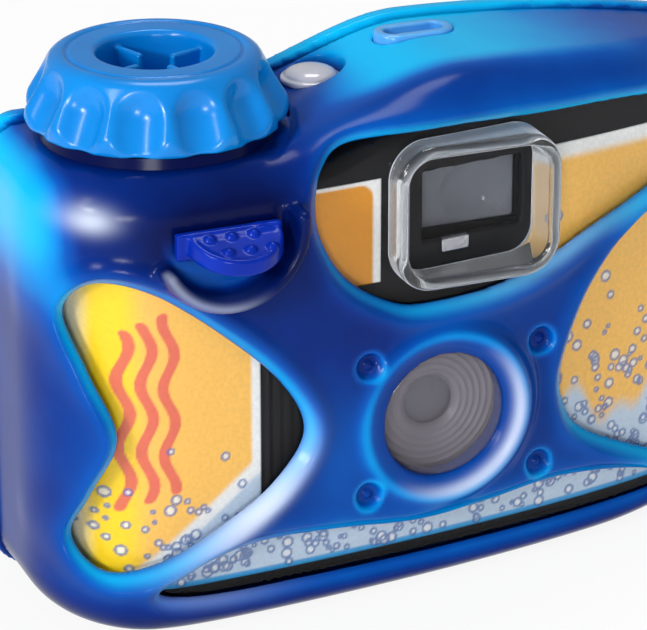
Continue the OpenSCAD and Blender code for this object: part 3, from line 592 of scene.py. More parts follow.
@dataclass(frozen=True)
class TintedCase(Finish):
    """Translucent blue polycarbonate with a satin tool finish.

    A point value paints light and shade into the colour: painted shade keeps it deep navy by the knob, the
    lever and over the dark inner camera, and painted light runs it to cyan on the lips and the arch. A second
    point value mixes in painted white highlights on the satin slopes, part of the port ring and the left
    shoulder.
    """

    name: str = "tinted_polycarbonate_satin"
    # Colours of the case from painted shade to painted light
    stops: tuple[tuple[float, str], ...] = (
        (0.0, "#020d44"), (0.24, "#022a7e"), (0.5, "#0252b0"), (0.7, "#0286d8"), (1.0, "#02baf4"))
    # White of the painted highlights
    highlight_white: str = "#dde8fa"
    roughness: float = 0.2
    ior: float = 1.58
    shine: float = 0.09
    cloud_mm: float = 14.0
    cloud_detail: float = 3.0
    cloud_gain: float = 0.2
    cloud_base: float = -0.11
    # A satin tool leaves a grain of about 0.03 mm, too fine to show, so it is drawn coarser.
    grit_mm: float = 0.5
    height_mm: float = 0.006

    def surface(self, tree: bpy.types.NodeTree) -> bpy.types.NodeSocket:
        """Adds the shader nodes.

        Args:
            tree: node tree of the material.

        Returns:
            Output of the last shader.
        """
        # Point values of painted light and shade, and of painted highlights
        painted_glow = add_node(tree, "Attribute", attribute_name="painted_glow").outputs["Fac"]
        painted_highlight = add_node(tree, "Attribute", attribute_name="painted_highlight").outputs["Fac"]
        cloud = clouds(tree, self.cloud_mm, self.cloud_detail)
        drift = add_node(
            tree, "Math", {0: cloud, 1: self.cloud_gain, 2: self.cloud_base}, operation="MULTIPLY_ADD")
        level = add_node(tree, "Math", {0: painted_glow, 1: drift.outputs[0]}, operation="ADD", use_clamp=True)
        tone = add_node(tree, "ValToRGB", {0: level.outputs[0]}, self.stops)
        hue = add_node(
            tree, "Mix", {0: painted_highlight, 6: tone.outputs[0], 7: linear(self.highlight_white)}, data_type="RGBA")
        skin = add_node(tree, "BsdfPrincipled", {
            "Base Color": hue.outputs[2],
            "Roughness": self.roughness,
            "IOR": self.ior,
            "Specular IOR Level": self.shine,
            "Normal": grain(tree, self.grit_mm, self.height_mm),
        })
        return skin.outputs[0]


@dataclass(frozen=True)
class ClearSheet(Finish):
    """Clear polished acrylic: nearly unseen face on, mirror-bright when glancing, grey if smoked."""

    name: str
    tint: str = "#ffffff"
    veil: str = "#8f8a94"
    haze: float = 0.0
    roughness: float = 0.04
    ior: float = 1.26
    wave_mm: float = 6.0
    wave_height_mm: float = 0.004

    def surface(self, tree: bpy.types.NodeTree) -> bpy.types.NodeSocket:
        """Adds the shader nodes.

        Args:
            tree: node tree of the material.

        Returns:
            Output of the last shader.
        """
        behind = add_node(tree, "NewGeometry").outputs["Backfacing"]
        rim = add_node(tree, "Fresnel", {"IOR": self.ior})
        shine = add_node(tree, "Math", {0: rim.outputs[0], 1: behind}, operation="SUBTRACT", use_clamp=True)
        clear = add_node(tree, "BsdfTransparent", {"Color": linear(self.tint)})
        smoke = add_node(tree, "BsdfDiffuse", {"Color": linear(self.veil)})
        body = add_node(tree, "MixShader", {0: self.haze, 1: clear.outputs[0], 2: smoke.outputs[0]})
        wave = grain(tree, self.wave_mm, self.wave_height_mm)
        gloss = add_node(tree, "BsdfGlossy", {"Roughness": self.roughness, "Normal": wave})
        skin = add_node(tree, "MixShader", {0: shine.outputs[0], 1: body.outputs[0], 2: gloss.outputs[0]})
        return skin.outputs[0]


@dataclass(frozen=True)
class ClearMoulding(Finish):
    """Thick clear acrylic, which bends what lies behind it; white diffuse mixed in at glancing angles paints
    light along its edges.
    """

    name: str = "clear_acrylic_moulded"
    colour: str = "#f4f8fc"
    roughness: float = 0.03
    ior: float = 1.49
    edge_power: float = 3.2
    wave_mm: float = 5.0
    wave_height_mm: float = 0.006

    def surface(self, tree: bpy.types.NodeTree) -> bpy.types.NodeSocket:
        """Adds the shader nodes.

        Args:
            tree: node tree of the material.

        Returns:
            Output of the last shader.
        """
        skin = add_node(tree, "BsdfPrincipled", {
            "Base Color": linear(self.colour),
            "Roughness": self.roughness,
            "IOR": self.ior,
            "Transmission Weight": 1.0,
            "Normal": grain(tree, self.wave_mm, self.wave_height_mm),
        })
        # Painted highlight along the edges: white diffuse mixed in at glancing angles
        lean = add_node(tree, "LayerWeight", {"Blend": 0.5})
        edge = add_node(tree, "Math", {0: lean.outputs["Facing"], 1: self.edge_power}, operation="POWER")
        lit = add_node(tree, "BsdfDiffuse", {"Color": linear(self.colour)})
        both = add_node(tree, "MixShader", {0: edge.outputs[0], 1: skin.outputs[0], 2: lit.outputs[0]})
        return both.outputs[0]


@dataclass(frozen=True)
class PrintedCard(Finish):
    """Coated card with a printed design held in the point colour "print", and a soft varnish sheen."""

    name: str = "coated_card_printed"
    roughness: float = 0.42
    ior: float = 1.5
    varnish: float = 0.2
    varnish_roughness: float = 0.2
    # Paper fibres are about 0.03 mm wide, too fine to show, so they are drawn coarser.
    fibre_mm: float = 0.6
    height_mm: float = 0.004

    def surface(self, tree: bpy.types.NodeTree) -> bpy.types.NodeSocket:
        """Adds the shader nodes.

        Args:
            tree: node tree of the material.

        Returns:
            Output of the last shader.
        """
        ink = add_node(tree, "Attribute", attribute_name="print").outputs["Color"]
        stops = [(0.3, "#f2f2f2"), (0.7, "#ffffff")]
        fade = add_node(tree, "ValToRGB", {0: clouds(tree, self.fibre_mm)}, stops)
        tone = add_node(
            tree, "Mix", {0: 1.0, 6: ink, 7: fade.outputs[0]}, data_type="RGBA", blend_type="MULTIPLY")
        skin = add_node(tree, "BsdfPrincipled", {
            "Base Color": tone.outputs[2],
            "Roughness": self.roughness,
            "IOR": self.ior,
            "Coat Weight": self.varnish,
            "Coat Roughness": self.varnish_roughness,
            "Normal": grain(tree, self.fibre_mm, self.height_mm),
        })
        return skin.outputs[0]


@dataclass(frozen=True)
class DrawnMetal(Finish):
    """Bright worked metal with a fine grain that breaks up the highlights."""

    name: str
    colour: str
    shade: str
    roughness: float
    # Drawing marks are about 0.02 mm wide, too fine to show, so they are drawn coarser.
    line_mm: float = 0.3
    detail: float = 4.0
    height_mm: float = 0.003

    def surface(self, tree: bpy.types.NodeTree) -> bpy.types.NodeSocket:
        """Adds the shader nodes.

        Args:
            tree: node tree of the material.

        Returns:
            Output of the last shader.
        """
        stops = [(0.35, self.shade), (0.65, self.colour)]
        tone = add_node(tree, "ValToRGB", {0: clouds(tree, self.line_mm, self.detail)}, stops)
        skin = add_node(tree, "BsdfPrincipled", {
            "Base Color": tone.outputs[0],
            "Metallic": 1.0,
            "Roughness": self.roughness,
            "Normal": grain(tree, self.line_mm, self.height_mm),
        })
        return skin.outputs[0]


@dataclass(frozen=True)
class PaperSweep(Finish):
    """Matt white paper: even white to the camera and in metal and glass, with a faint shadow."""

    name: str = "white_paper_sweep"
    paper: str = "#f6f6f6"
    # Share of even white in the paper as it is seen, the rest being lit paper that keeps the shadow
    white: float = 0.9

    def surface(self, tree: bpy.types.NodeTree) -> bpy.types.NodeSocket:
        """Adds the shader nodes.

        Args:
            tree: node tree of the material.

        Returns:
            Output of the last shader.
        """
        path = add_node(tree, "LightPath").outputs
        paper = add_node(tree, "BsdfDiffuse", {"Color": linear(self.paper)})
        even = add_node(tree, "Emission", {"Color": linear("#ffffff"), "Strength": 1.0})
        both = add_node(tree, "MixShader", {0: self.white, 1: paper.outputs[0], 2: even.outputs[0]})
        clear = add_node(
            tree, "Math", {0: path["Is Glossy Ray"], 1: path["Is Transmission Ray"]}, operation="MAXIMUM")
        shown = add_node(tree, "Math", {0: path["Is Camera Ray"], 1: clear.outputs[0]}, operation="MAXIMUM")
        seen = add_node(tree, "MixShader", {0: shown.outputs[0], 1: paper.outputs[0], 2: both.outputs[0]})
        return seen.outputs[0]


# Case


@dataclass
class CaseForm:
    """Outer form of the case: a squarish bulge round the cartridge that falls away to the right end."""

    left: float = 62.5
    right: float = 61.0
    front: float = 22.0
    rear: float = 20.0
    deck: float = 74.0
    knob_x: float = 39.0
    left_power: float = 2.5
    right_power: float = 1.6
    tail_blend: Pair = (0.75, 0.92)
    arch_start: float = 30.0
    arch_run: float = 36.0
    arch_rise: float = 8.5
    arch_peak: float = 4.0
    arch_r: float = 240.0
    left_r: float = 7.0
    shoulder_r: float = 17.0
    toe_r: float = 9.5
    brow_r: float = 7.0
    foot_r: float = 4.5
    rear_r: float = 6.0
    least_r: float = 0.6
    end_blend: Pair = (0.7, 1.0)
    side_blend: Pair = (0.35, 0.9)
    back_blend: Pair = (4.0, 15.0)
    wall: float = 2.2
    detail_fade: Pair = (2.0, -5.0)

    def top(self, x: Array) -> Array:
        """Height of the top at a place across the case."""
        rise = self.arch_rise - (x - self.arch_peak) ** 2 / (2 * self.arch_r)
        return self.deck + ease(-self.arch_start, self.arch_run - self.arch_start, x) * rise

    def face(self, x: Array, inset: float = 0.0) -> Array:
        """Finds the front face at a place across the case.

        Args:
            x: places across.
            inset: depth below the outer skin.

        Returns:
            The face's y.
        """
        u = x + self.knob_x
        left = np.clip(-u / (self.left - self.knob_x - inset), 0, 1) ** self.left_power
        right = np.clip(u / (self.right + self.knob_x - inset), 0, 1) ** self.right_power
        share = np.where(u < 0, (1 - left) ** (1 / self.left_power), np.sqrt(1 - right))
        return -(self.front - inset) * share

    def plan(self, x: Array, y: Array, inset: float) -> Array:
        """Measures the outline of the case seen from above.

        Args:
            x: places across.
            y: places from front to back.
            inset: depth below the outer skin.

        Returns:
            Distance to the outline.
        """
        above_zero, steepest, least_share = 1e-6, 0.97, 0.01
        u = x + self.knob_x
        a = np.where(u < 0, self.left - self.knob_x, self.right + self.knob_x) - inset
        b = self.front - inset
        across = np.abs(u) / a + above_zero
        ahead = np.maximum(-y, 0) / b + above_zero
        p = self.left_power
        round_left = (across**p + ahead**p) ** (1 / p)
        slope_left = np.hypot((across / round_left) ** (p - 1) / a, (ahead / round_left) ** (p - 1) / b)
        bulge = (round_left - 1) / slope_left
        q = self.right_power
        reach = np.sqrt(np.maximum(1 - np.minimum(across, steepest) ** q, least_share))
        lean = q / 2 * across ** (q - 1) / reach * b / a
        graph = (ahead - reach) * b / np.hypot(1, lean)
        end = (across**q + ahead**2 - 1) / np.hypot(q * across ** (q - 1) / a, 2 * ahead / b)
        blend = ease(*self.tail_blend, across)
        tail = graph * (1 - blend) + end * blend
        behind = cut_round(np.abs(u) - a, y - self.rear + inset, max(self.least_r, self.rear_r - inset))
        return np.where(y < 0, np.where(u < 0, bulge, tail), behind)

    def edges(self, x: Array, y: Array, inset: float) -> tuple[Array, Array]:
        """Works out the rounding of the top and bottom edges.

        Args:
            x: places across.
            y: places from front to back.
            inset: depth below the outer skin.

        Returns:
            Radii of the top edge and of the bottom edge.
        """
        end = ease(*self.end_blend, (x + self.knob_x) / (self.right + self.knob_x))
        side = ease(*self.side_blend, (-self.knob_x - x) / (self.left - self.knob_x))
        back = ease(*self.back_blend, y)
        top = self.brow_r + (self.shoulder_r - self.brow_r) * end + (self.left_r - self.brow_r) * side
        foot = self.foot_r + (self.toe_r - self.foot_r) * end + (self.left_r - self.foot_r) * side
        radii = (r + (self.rear_r - r) * back - inset for r in (top, foot))
        return tuple(np.maximum(r, self.least_r) for r in radii)

    def distance(self, x: Array, y: Array, z: Array, inset: float = 0.0) -> Array:
        """Measures the whole form.

        Args:
            x, y, z: places.
            inset: depth by which the form is drawn in.

        Returns:
            Distance to the form.
        """
        top_r, foot_r = self.edges(x, y, inset)
        outline = self.plan(x, y, inset)
        return cut_round(cut_round(outline, z - self.top(x) + inset, top_r), inset - z, foot_r)

    def forward(self, y: Array) -> Array:
        """Share of a front detail at a depth, which fades out before the middle of the case."""
        return ease(*self.detail_fade, y)


@dataclass
class Places:
    """Places that several sub-assemblies share."""

    form: CaseForm
    lens_z: float = 28.5
    port_r: float = 10.2
    port_back_y: float = -15.9
    ring_crest: float = 3.3
    ring_front_y: float = -21.0
    finder: Pair = (6.5, 61.6)
    bezel: Pair = (4.4, 62.1)
    guard: Pair = (-36.6, 65.9)
    lever_shaft: Pair = (-31.5, 63.1)
    counter: Pair = (-12.0, 5.0)
    counter_z: float = 76.6
    counter_r: float = 4.7
    slot: Pair = (5.0, 5.0)
    slot_size: Pair = (12.8, 6.4)
    dimples: tuple[Pair, ...] = ((-12.8, 39.0), (17.6, 37.1), (-12.8, 17.5), (17.6, 16.1))

    def windows(self) -> dict[Window, Outline]:
        """Draws the clear windows, with heights counted from the lens axis, the deck or the foot.

        Returns:
            Outline of each window.
        """
        left = [
            (-58.4, 23.9), (-55.7, 14.5), (-52.3, 4.5), (-55.6, -4.5), (-58.2, -12.5), (-54.6, -17.7),
            (-46.9, -16.5), (-36.7, -11.7), (-28.1, -6.0), (-23.2, 1.6), (-27.2, 10.3), (-36.7, 19.7),
            (-46.9, 27.3), (-54.8, 29.1)]
        finder = [
            (-21.3, -8.5), (-20.0, -2.8), (-14.3, 0.4), (0.3, 0.8), (17.5, 0.0), (34.9, -0.8), (45.0, -3.0),
            (48.6, -7.6), (45.2, -12.6), (35.9, -16.9), (26.0, -20.8), (17.8, -24.4), (8.8, -26.6),
            (-1.8, -27.0), (-8.1, -25.8), (-15.6, -21.0), (-19.9, -14.5)]
        right = [
            (36.0, 24.1), (27.5, 15.0), (22.6, 3.6), (22.8, -3.5), (26.7, -9.0), (37.4, -14.9), (45.0, -17.9),
            (49.4, -17.5), (51.2, -13.5), (50.8, -5.5), (49.4, 2.5), (50.6, 11.5), (50.6, 18.9), (47.6, 23.9),
            (42.4, 25.7)]
        lower = [
            (-46.9, 6.8), (-43.4, 9.6), (-37.7, 12.0), (-28.7, 13.1), (-16.4, 12.3), (-3.9, 10.8),
            (8.8, 11.2), (21.8, 12.0), (35.9, 9.9), (42.6, 7.6), (44.6, 6.0), (41.0, 5.2), (26.0, 5.0),
            (0.3, 5.0), (-22.6, 5.2), (-38.7, 5.4)]
        lists = {
            Window.LEFT: (left, self.lens_z),
            Window.FINDER: (finder, self.form.deck),
            Window.RIGHT: (right, self.lens_z),
            Window.LOWER: (lower, 0.0),
        }
        return {key: Outline([(x, z + base) for x, z in points]) for key, (points, base) in lists.items()}

    def from_lens(self, x: Array, z: Array) -> Array:
        """Distance from the lens axis."""
        return np.hypot(x, z - self.lens_z)

    def from_knob(self, x: Array, y: Array) -> Array:
        """Distance from the knob's axis."""
        return np.hypot(x + self.form.knob_x, y)

    def from_counter(self, x: Array, y: Array) -> Array:
        """Distance from the counter's axis."""
        return np.hypot(x - self.counter[0], y - self.counter[1])

    def slot_edge(self, x: Array, y: Array) -> Array:
        """Measures the stadium outline of the opening slot's insert.

        Args:
            x, y: places on the top.

        Returns:
            Distance to the outline.
        """
        long, wide = self.slot_size
        run = np.maximum(np.abs(x - self.slot[0]) - (long - wide) / 2, 0)
        return np.hypot(run, y - self.slot[1]) - wide / 2


@dataclass(frozen=True)
class PaintedSpot:
    """Oval patch of painted light on the front of the case; a negative gain paints shade."""

    x: float
    z: float
    wide: float
    high: float
    gain: float

    def share(self, x: Array, z: Array) -> Array:
        """Strength of the patch at places of the front."""
        return self.gain * bell(x, self.x, self.wide) * bell(z, self.z, self.high)


@dataclass(frozen=True)
class PaintedGlint:
    """Painted highlight: a bright line that runs beside an edge."""

    gain: float
    middle: float
    run: float

    def along(self, distance: Array) -> Array:
        """Strength of the line at a distance from the edge."""
        return self.gain * bell(distance, self.middle, self.run)


@dataclass
class PaintedWallLight:
    """Painted light and painted shade in the tinted wall, as point values for its finish."""

    form: CaseForm
    at: Places
    windows: dict[Window, Outline]
    base: float = 0.33
    front_fade: Pair = (6.0, -8.0)
    # Painted shade, darker towards the foot
    foot_shade: float = 0.2
    foot_fade: Pair = (9.0, 2.0)
    # Painted shade by the knob and lever and between the windows, painted light below the lens and along the
    # brow
    lobes: tuple[PaintedSpot, ...] = (
        PaintedSpot(-37.0, 64.0, 19.0, 13.0, -0.36),
        PaintedSpot(-16.0, 46.0, 12.0, 16.0, -0.1),
        PaintedSpot(2.0, 11.0, 24.0, 6.0, 0.1),
        PaintedSpot(30.0, 74.0, 34.0, 4.0, 0.12),
    )
    # Painted light on the arch
    arch_gain: float = 0.7
    arch_half: float = 30.0
    arch_rise: Pair = (2.0, 6.5)
    arch_front: Pair = (-15.0, -7.0)
    # Painted light on the top of the left end, painted shade at its foot, painted light on the right end
    left_end: Pair = (-56.0, -62.0)
    left_top: Pair = (48.0, 64.0)
    left_top_gain: float = 0.7
    left_foot: Pair = (56.0, 44.0)
    left_foot_shade: float = 0.07
    right_end: Pair = (44.0, 60.0)
    right_gain: float = 0.25
    # Painted highlights along the window lips and round the port ring
    lip_lines: tuple[PaintedGlint, ...] = (PaintedGlint(0.34, 0.7, 0.8), PaintedGlint(0.2, 1.2, 2.0))
    lower_lip: float = 0.6
    ring_lines: tuple[PaintedGlint, ...] = (PaintedGlint(0.24, 0.0, 0.8), PaintedGlint(0.14, 0.0, 2.2))
    # Patch of painted light between the left window and the port
    veil: PaintedSpot = PaintedSpot(-17.0, 25.0, 5.0, 9.0, 0.16)
    # Painted light in the trough under the lever
    trough_r: float = 9.8
    trough_gain: float = 0.42
    trough_edge: Pair = (0.6, -1.2)
    trough_top: Pair = (66.0, 60.0)
    # Painted highlight rings round the dimples, with painted shade inside them
    dimple_line: PaintedGlint = PaintedGlint(0.3, 2.4, 0.5)
    dimple_shade: float = 0.06
    dimple_fade: Pair = (2.0, 1.2)
    # Painted highlights on the left shoulder, the lower right of the port ring and the lever guard
    shoulder: PaintedSpot = PaintedSpot(-55.6, 68.0, 3.0, 1.9, 0.7)
    shoulder_front: Pair = (-6.0, -12.0)
    ring_highlight: PaintedGlint = PaintedGlint(0.7, -0.9, 0.9)
    ring_highlight_way: Pair = (0.8, -0.6)
    ring_highlight_run: float = 12.0
    ring_highlight_fade: Pair = (-0.2, 1.0)
    guard_highlight: PaintedGlint = PaintedGlint(0.3, 1.3, 0.7)
    guard_front: Pair = (-23.0, -25.5)
    guard_side: Pair = (-30.0, -38.0)
    # Painted highlights on stretches of the window lips: window, place on the front and line beside the edge
    slopes: tuple[tuple[Window, PaintedSpot, PaintedGlint], ...] = (
        (Window.LEFT, PaintedSpot(-31.0, 18.0, 11.0, 10.0, 0.9), PaintedGlint(1.0, 1.2, 1.7)),
        (Window.LOWER, PaintedSpot(-38.0, 10.0, 10.0, 5.0, 0.4), PaintedGlint(1.0, 0.6, 1.2)),
        (Window.FINDER, PaintedSpot(20.0, 52.0, 14.0, 8.0, 0.25), PaintedGlint(1.0, 0.6, 1.2)),
    )

    def ring(self, x: Array, z: Array) -> Array:
        """Distance from the crest of the port ring, positive outside it."""
        return self.at.from_lens(x, z) - self.at.port_r - self.at.ring_crest

    def trough(self, x: Array, z: Array) -> Array:
        """Distance from the trough under the lever, positive outside it."""
        return np.hypot(x - self.at.guard[0], z - self.at.guard[1]) - self.trough_r

    def broad(self, x: Array, y: Array, z: Array) -> Array:
        """Paints light and shade on the broad faces: the front, the arch and both ends.

        Args:
            x, y, z: places.

        Returns:
            Painted light and shade of the faces.
        """
        lit = self.base - self.foot_shade * ease(*self.foot_fade, z)
        front = ease(*self.front_fade, y)
        for lobe in self.lobes:
            lit = lit + front * lobe.share(x, z)
        above = ease(*(self.form.deck + rise for rise in self.arch_rise), z)
        arch = bell(x, self.form.arch_peak, self.arch_half) * above
        lit += self.arch_gain * arch * ease(*self.arch_front, y)
        shoulder = self.left_top_gain * ease(*self.left_top, z)
        lit += ease(*self.left_end, x) * (shoulder - self.left_foot_shade * ease(*self.left_foot, z))
        return lit + self.right_gain * ease(*self.right_end, x)

    def edges(self, x: Array, z: Array) -> Array:
        """Paints light along the edges on the front: window lips, port ring, lever trough and dimples, with
        painted shade inside the dimples.

        Args:
            x, z: places on the front.

        Returns:
            Painted light that the edges add.
        """
        lit = self.veil.share(x, z)
        for window, outline in self.windows.items():
            d = outline.distance(x, z)
            share = self.lower_lip if window is Window.LOWER else 1.0
            lit += share * sum(line.along(d) for line in self.lip_lines)
        lit += sum(line.along(self.ring(x, z)) for line in self.ring_lines)
        lit += self.trough_gain * ease(*self.trough_edge, self.trough(x, z)) * ease(*self.trough_top, z)
        for cx, cz in self.at.dimples:
            d = np.hypot(x - cx, z - cz)
            lit += self.dimple_line.along(d) - self.dimple_shade * ease(*self.dimple_fade, d)
        return lit

    def painted_highlight(self, x: Array, y: Array, z: Array) -> Array:
        """Paints white highlights on the satin slopes, the lower right of the port ring, the lever guard and
        the left shoulder.

        Args:
            x, y, z: places.

        Returns:
            Share of painted highlight.
        """
        forward = self.form.forward(y)
        patches = [self.shoulder.share(x, z) * ease(*self.shoulder_front, y)]
        for window, spot, line in self.slopes:
            patches.append(spot.share(x, z) * line.along(self.windows[window].distance(x, z)) * forward)
        way_x, way_z = self.ring_highlight_way
        toward = (way_x * x + way_z * (z - self.at.lens_z)) / self.ring_highlight_run
        aside = ease(*self.ring_highlight_fade, toward)
        patches.append(aside * self.ring_highlight.along(self.ring(x, z)) * forward)
        guard = self.guard_highlight.along(self.trough(x, z)) * ease(*self.trough_top, z) * forward
        patches.append(guard * ease(*self.guard_front, y) * ease(*self.guard_side, x))
        return reduce(np.maximum, patches)

    def layers(self, points: Array) -> dict[str, Array]:
        """Works out the point values of a shell.

        Args:
            points: points of the shell, one row each.

        Returns:
            Painted light and shade, and painted highlight, by name.
        """
        x, y, z = points.T
        painted_glow = self.broad(x, y, z) + self.edges(x, z) * self.form.forward(y)
        return {"painted_glow": np.clip(painted_glow, 0, 1), "painted_highlight": self.painted_highlight(x, y, z)}


@dataclass
class Shells:
    """Front and rear mouldings of the case."""

    form: CaseForm
    at: Places
    windows: dict[Window, Outline]
    split_y: float = 11.0
    gasket_t: float = 0.8
    rim_step: float = 0.8
    rim_w: float = 3.0
    rim_round: float = 0.5
    # Painted light along the rear rim
    rim_painted_glow: float = 0.35
    rim_fade: Pair = (0.6, -0.2)
    rim_proud: Pair = (0.2, 0.6)
    spare: float = 0.2
    lip_crest: float = 2.4
    lip_rise: float = 0.8
    lip_run: float = 1.7
    lip_dip: float = 1.5
    lip_edge: float = -0.4
    lower_lip: float = 0.45
    least_dip: float = 0.6
    dimple: Pair = (2.5, 1.5)
    dimple_depth: float = 1.1
    pip: Pair = (1.0, 0.4)
    pip_rise: float = 0.6
    guard_r: float = 11.0
    guard_half: float = 1.0
    guard_lean: Pair = (0.5, 0.2)
    guard_y: Pair = (-27.0, -18.0)
    guard_round: Pair = (0.8, 0.95)
    guard_fillet: float = 1.3
    ring_flat: float = 0.2
    ring_inner: Pair = (3.4, 1.9)
    ring_outer: Pair = (3.8, 3.6)
    ring_steep: float = 1.25
    ring_reach: float = 3.2
    ring_back_y: float = -17.0
    ring_fillet: float = 1.4
    well_gap: float = 0.2
    well_taper: float = 0.13
    counter_ledge: float = 1.5
    counter_bore: float = 15.0
    boss_wall: float = 1.4
    boss_depth: float = 2.0
    slot_gap: float = 0.05
    stand_r: float = 18.6
    stand_foot_z: float = 60.0
    stand_round: float = 1.2
    stand_fillet: float = 2.5
    knob_room_r: float = 21.0
    knob_room_round: float = 0.8
    tube_wall: float = 3.0
    tube_front_y: float = -19.0
    window_cut_y: float = -4.0
    opening_round: float = 0.5
    split_round: float = 0.3
    bore_cut_y: float = -5.0
    knob_bore: Pair = (6.05, 55.0)
    lever_bore_r: float = 2.5
    eyepiece: Pair = (17.0, 12.0)
    eyepiece_r: float = 3.0
    eyepiece_y: float = 10.0
    eyepiece_round: float = 0.4
    top_z: float = 83.0
    grid: float = 0.5
    rear_grid: float = 0.8

    def lips(self, x: Array, z: Array) -> Array:
        """Shapes the front skin round the windows and at the dimples.

        Args:
            x, z: places on the front.

        Returns:
            Rise of the skin.
        """
        rise = 0.0
        for window, outline in self.windows.items():
            d = outline.distance(x, z)
            size = self.lower_lip if window is Window.LOWER else 1.0
            dip = self.least_dip + (1 - self.least_dip) * size
            rise = rise + size * self.lip_rise * bell(d, self.lip_crest, self.lip_run)
            rise = rise - dip * self.lip_dip * ease(self.lip_crest, self.lip_edge, d)
        for cx, cz in self.at.dimples:
            d = np.hypot(x - cx, z - cz)
            rise = rise - self.dimple_depth * ease(*self.dimple, d) + self.pip_rise * ease(*self.pip, d)
        return rise

    def guard(self, x: Array, y: Array, z: Array) -> Array:
        """Builds the half-ring wall under and beside the lever.

        Args:
            x, y, z: places.

        Returns:
            Distance to the wall.
        """
        dx, dz = x - self.at.guard[0], z - self.at.guard[1]
        ring = np.abs(np.hypot(dx, dz) - self.guard_r) - self.guard_half
        above = dz - np.where(dx < 0, *self.guard_lean) * dx
        front, back = self.guard_y
        tip_r, edge_r = self.guard_round
        return cut_round(cut_round(ring, above, tip_r), np.maximum(front - y, y - back), edge_r)

    def port_ring(self, x: Array, y: Array, z: Array) -> Array:
        """Builds the flared ring round the lens port, open at the port.

        Args:
            x, y, z: places.

        Returns:
            Distance to the ring.
        """
        r = self.at.from_lens(x, z)
        crest = self.at.port_r + self.at.ring_crest
        (inner_run, inner_drop), (outer_run, outer_drop) = self.ring_inner, self.ring_outer
        inner = inner_drop * ease(self.ring_flat, inner_run, crest - r)
        outer = outer_drop * ease(self.ring_flat, outer_run, r - crest)
        front = (self.at.ring_front_y + np.where(r < crest, inner, outer) - y) / self.ring_steep
        return common(front, r - crest - self.ring_reach, y - self.ring_back_y)

    def tops(self, x: Array, y: Array, z: Array) -> Array:
        """Hollows the top: the counter's well and the slot's seat.

        Args:
            x, y, z: places.

        Returns:
            Distance to the hollows.
        """
        d = self.at.from_counter(x, y)
        above = z - self.at.counter_z
        well = np.maximum(d - self.at.counter_r - self.well_gap - self.well_taper * above, -above)
        bore = np.maximum(d - self.at.counter_r + self.counter_ledge, self.form.deck - self.counter_bore - z)
        seat = np.maximum(self.at.slot_edge(x, y) - self.slot_gap, self.form.deck - z)
        return np.minimum(np.minimum(well, bore), seat)

    def skin(self, x: Array, y: Array, z: Array) -> Array:
        """Builds the outer form with the knob's stand and the room beside the arch.

        Args:
            x, y, z: places.

        Returns:
            Distance to the outer form.
        """
        knob = self.at.from_knob(x, y)
        height = np.maximum(z - self.form.deck, self.stand_foot_z - z)
        stand = cut_round(knob - self.stand_r, height, self.stand_round)
        body = join_round(self.form.distance(x, y, z), stand, self.stand_fillet)
        room = np.maximum(knob - self.knob_room_r, self.form.deck - z)
        return cut_round(body, -room, self.knob_room_round)

    def front(self, x: Array, y: Array, z: Array) -> Array:
        """Builds the front shell with lips, window cut-outs, lever guard and lens tube.

        Args:
            x, y, z: places.

        Returns:
            Distance to the shell.
        """
        at, form = self.at, self.form
        skin = self.skin(x, y, z) - self.lips(x, z) * form.forward(y)
        skin = join_round(skin, self.guard(x, y, z), self.guard_fillet)
        skin = join_round(skin, self.port_ring(x, y, z), self.ring_fillet)
        shell = np.maximum(skin, -form.distance(x, y, z, form.wall))
        boss = at.from_counter(x, y) - at.counter_r - self.boss_wall
        shell = np.minimum(shell, common(boss, skin, form.deck - self.boss_depth - z))
        r, half = at.from_lens(x, z), self.tube_wall / 2
        tube = common(np.abs(r - at.port_r - half) - half, y - at.port_back_y, self.tube_front_y - y)
        shell = np.minimum(shell, tube)
        for outline in self.windows.values():
            window = np.maximum(outline.distance(x, z), y - self.window_cut_y)
            shell = cut_round(shell, -window, self.opening_round)
        port = np.maximum(r - at.port_r, y - self.bore_cut_y)
        knob_r, knob_foot = self.knob_bore
        knob = np.maximum(at.from_knob(x, y) - knob_r, knob_foot - z)
        shaft = np.hypot(x - at.lever_shaft[0], z - at.lever_shaft[1])
        lever = np.maximum(shaft - self.lever_bore_r, y - self.bore_cut_y)
        shell = common(shell, -port, -knob, -lever)
        shell = cut_round(shell, -self.tops(x, y, z), self.opening_round)
        return cut_round(shell, y - self.split_y, self.split_round)

    def rear(self, x: Array, y: Array, z: Array) -> Array:
        """Builds the rear shell with its raised rim and the eyepiece opening.

        Args:
            x, y, z: places.

        Returns:
            Distance to the shell.
        """
        form = self.form
        start = self.split_y + self.gasket_t
        rim_end = start + self.rim_w
        middle, half = (self.split_y + rim_end) / 2, (rim_end - self.split_y) / 2
        rim = cut_round(form.distance(x, y, z, -self.rim_step), np.abs(y - middle) - half, self.rim_round)
        solid = np.maximum(np.minimum(self.skin(x, y, z), rim), start - y)
        room = np.maximum(self.at.from_knob(x, y) - self.knob_room_r, form.deck - z)
        shell = common(solid, -z, -room, -form.distance(x, y, z, form.wall))
        finder_x, finder_z = self.at.finder
        hole = rounded_rectangle(x - finder_x, z - finder_z, *self.eyepiece, self.eyepiece_r)
        return cut_round(shell, -np.maximum(hole, self.eyepiece_y - y), self.eyepiece_round)

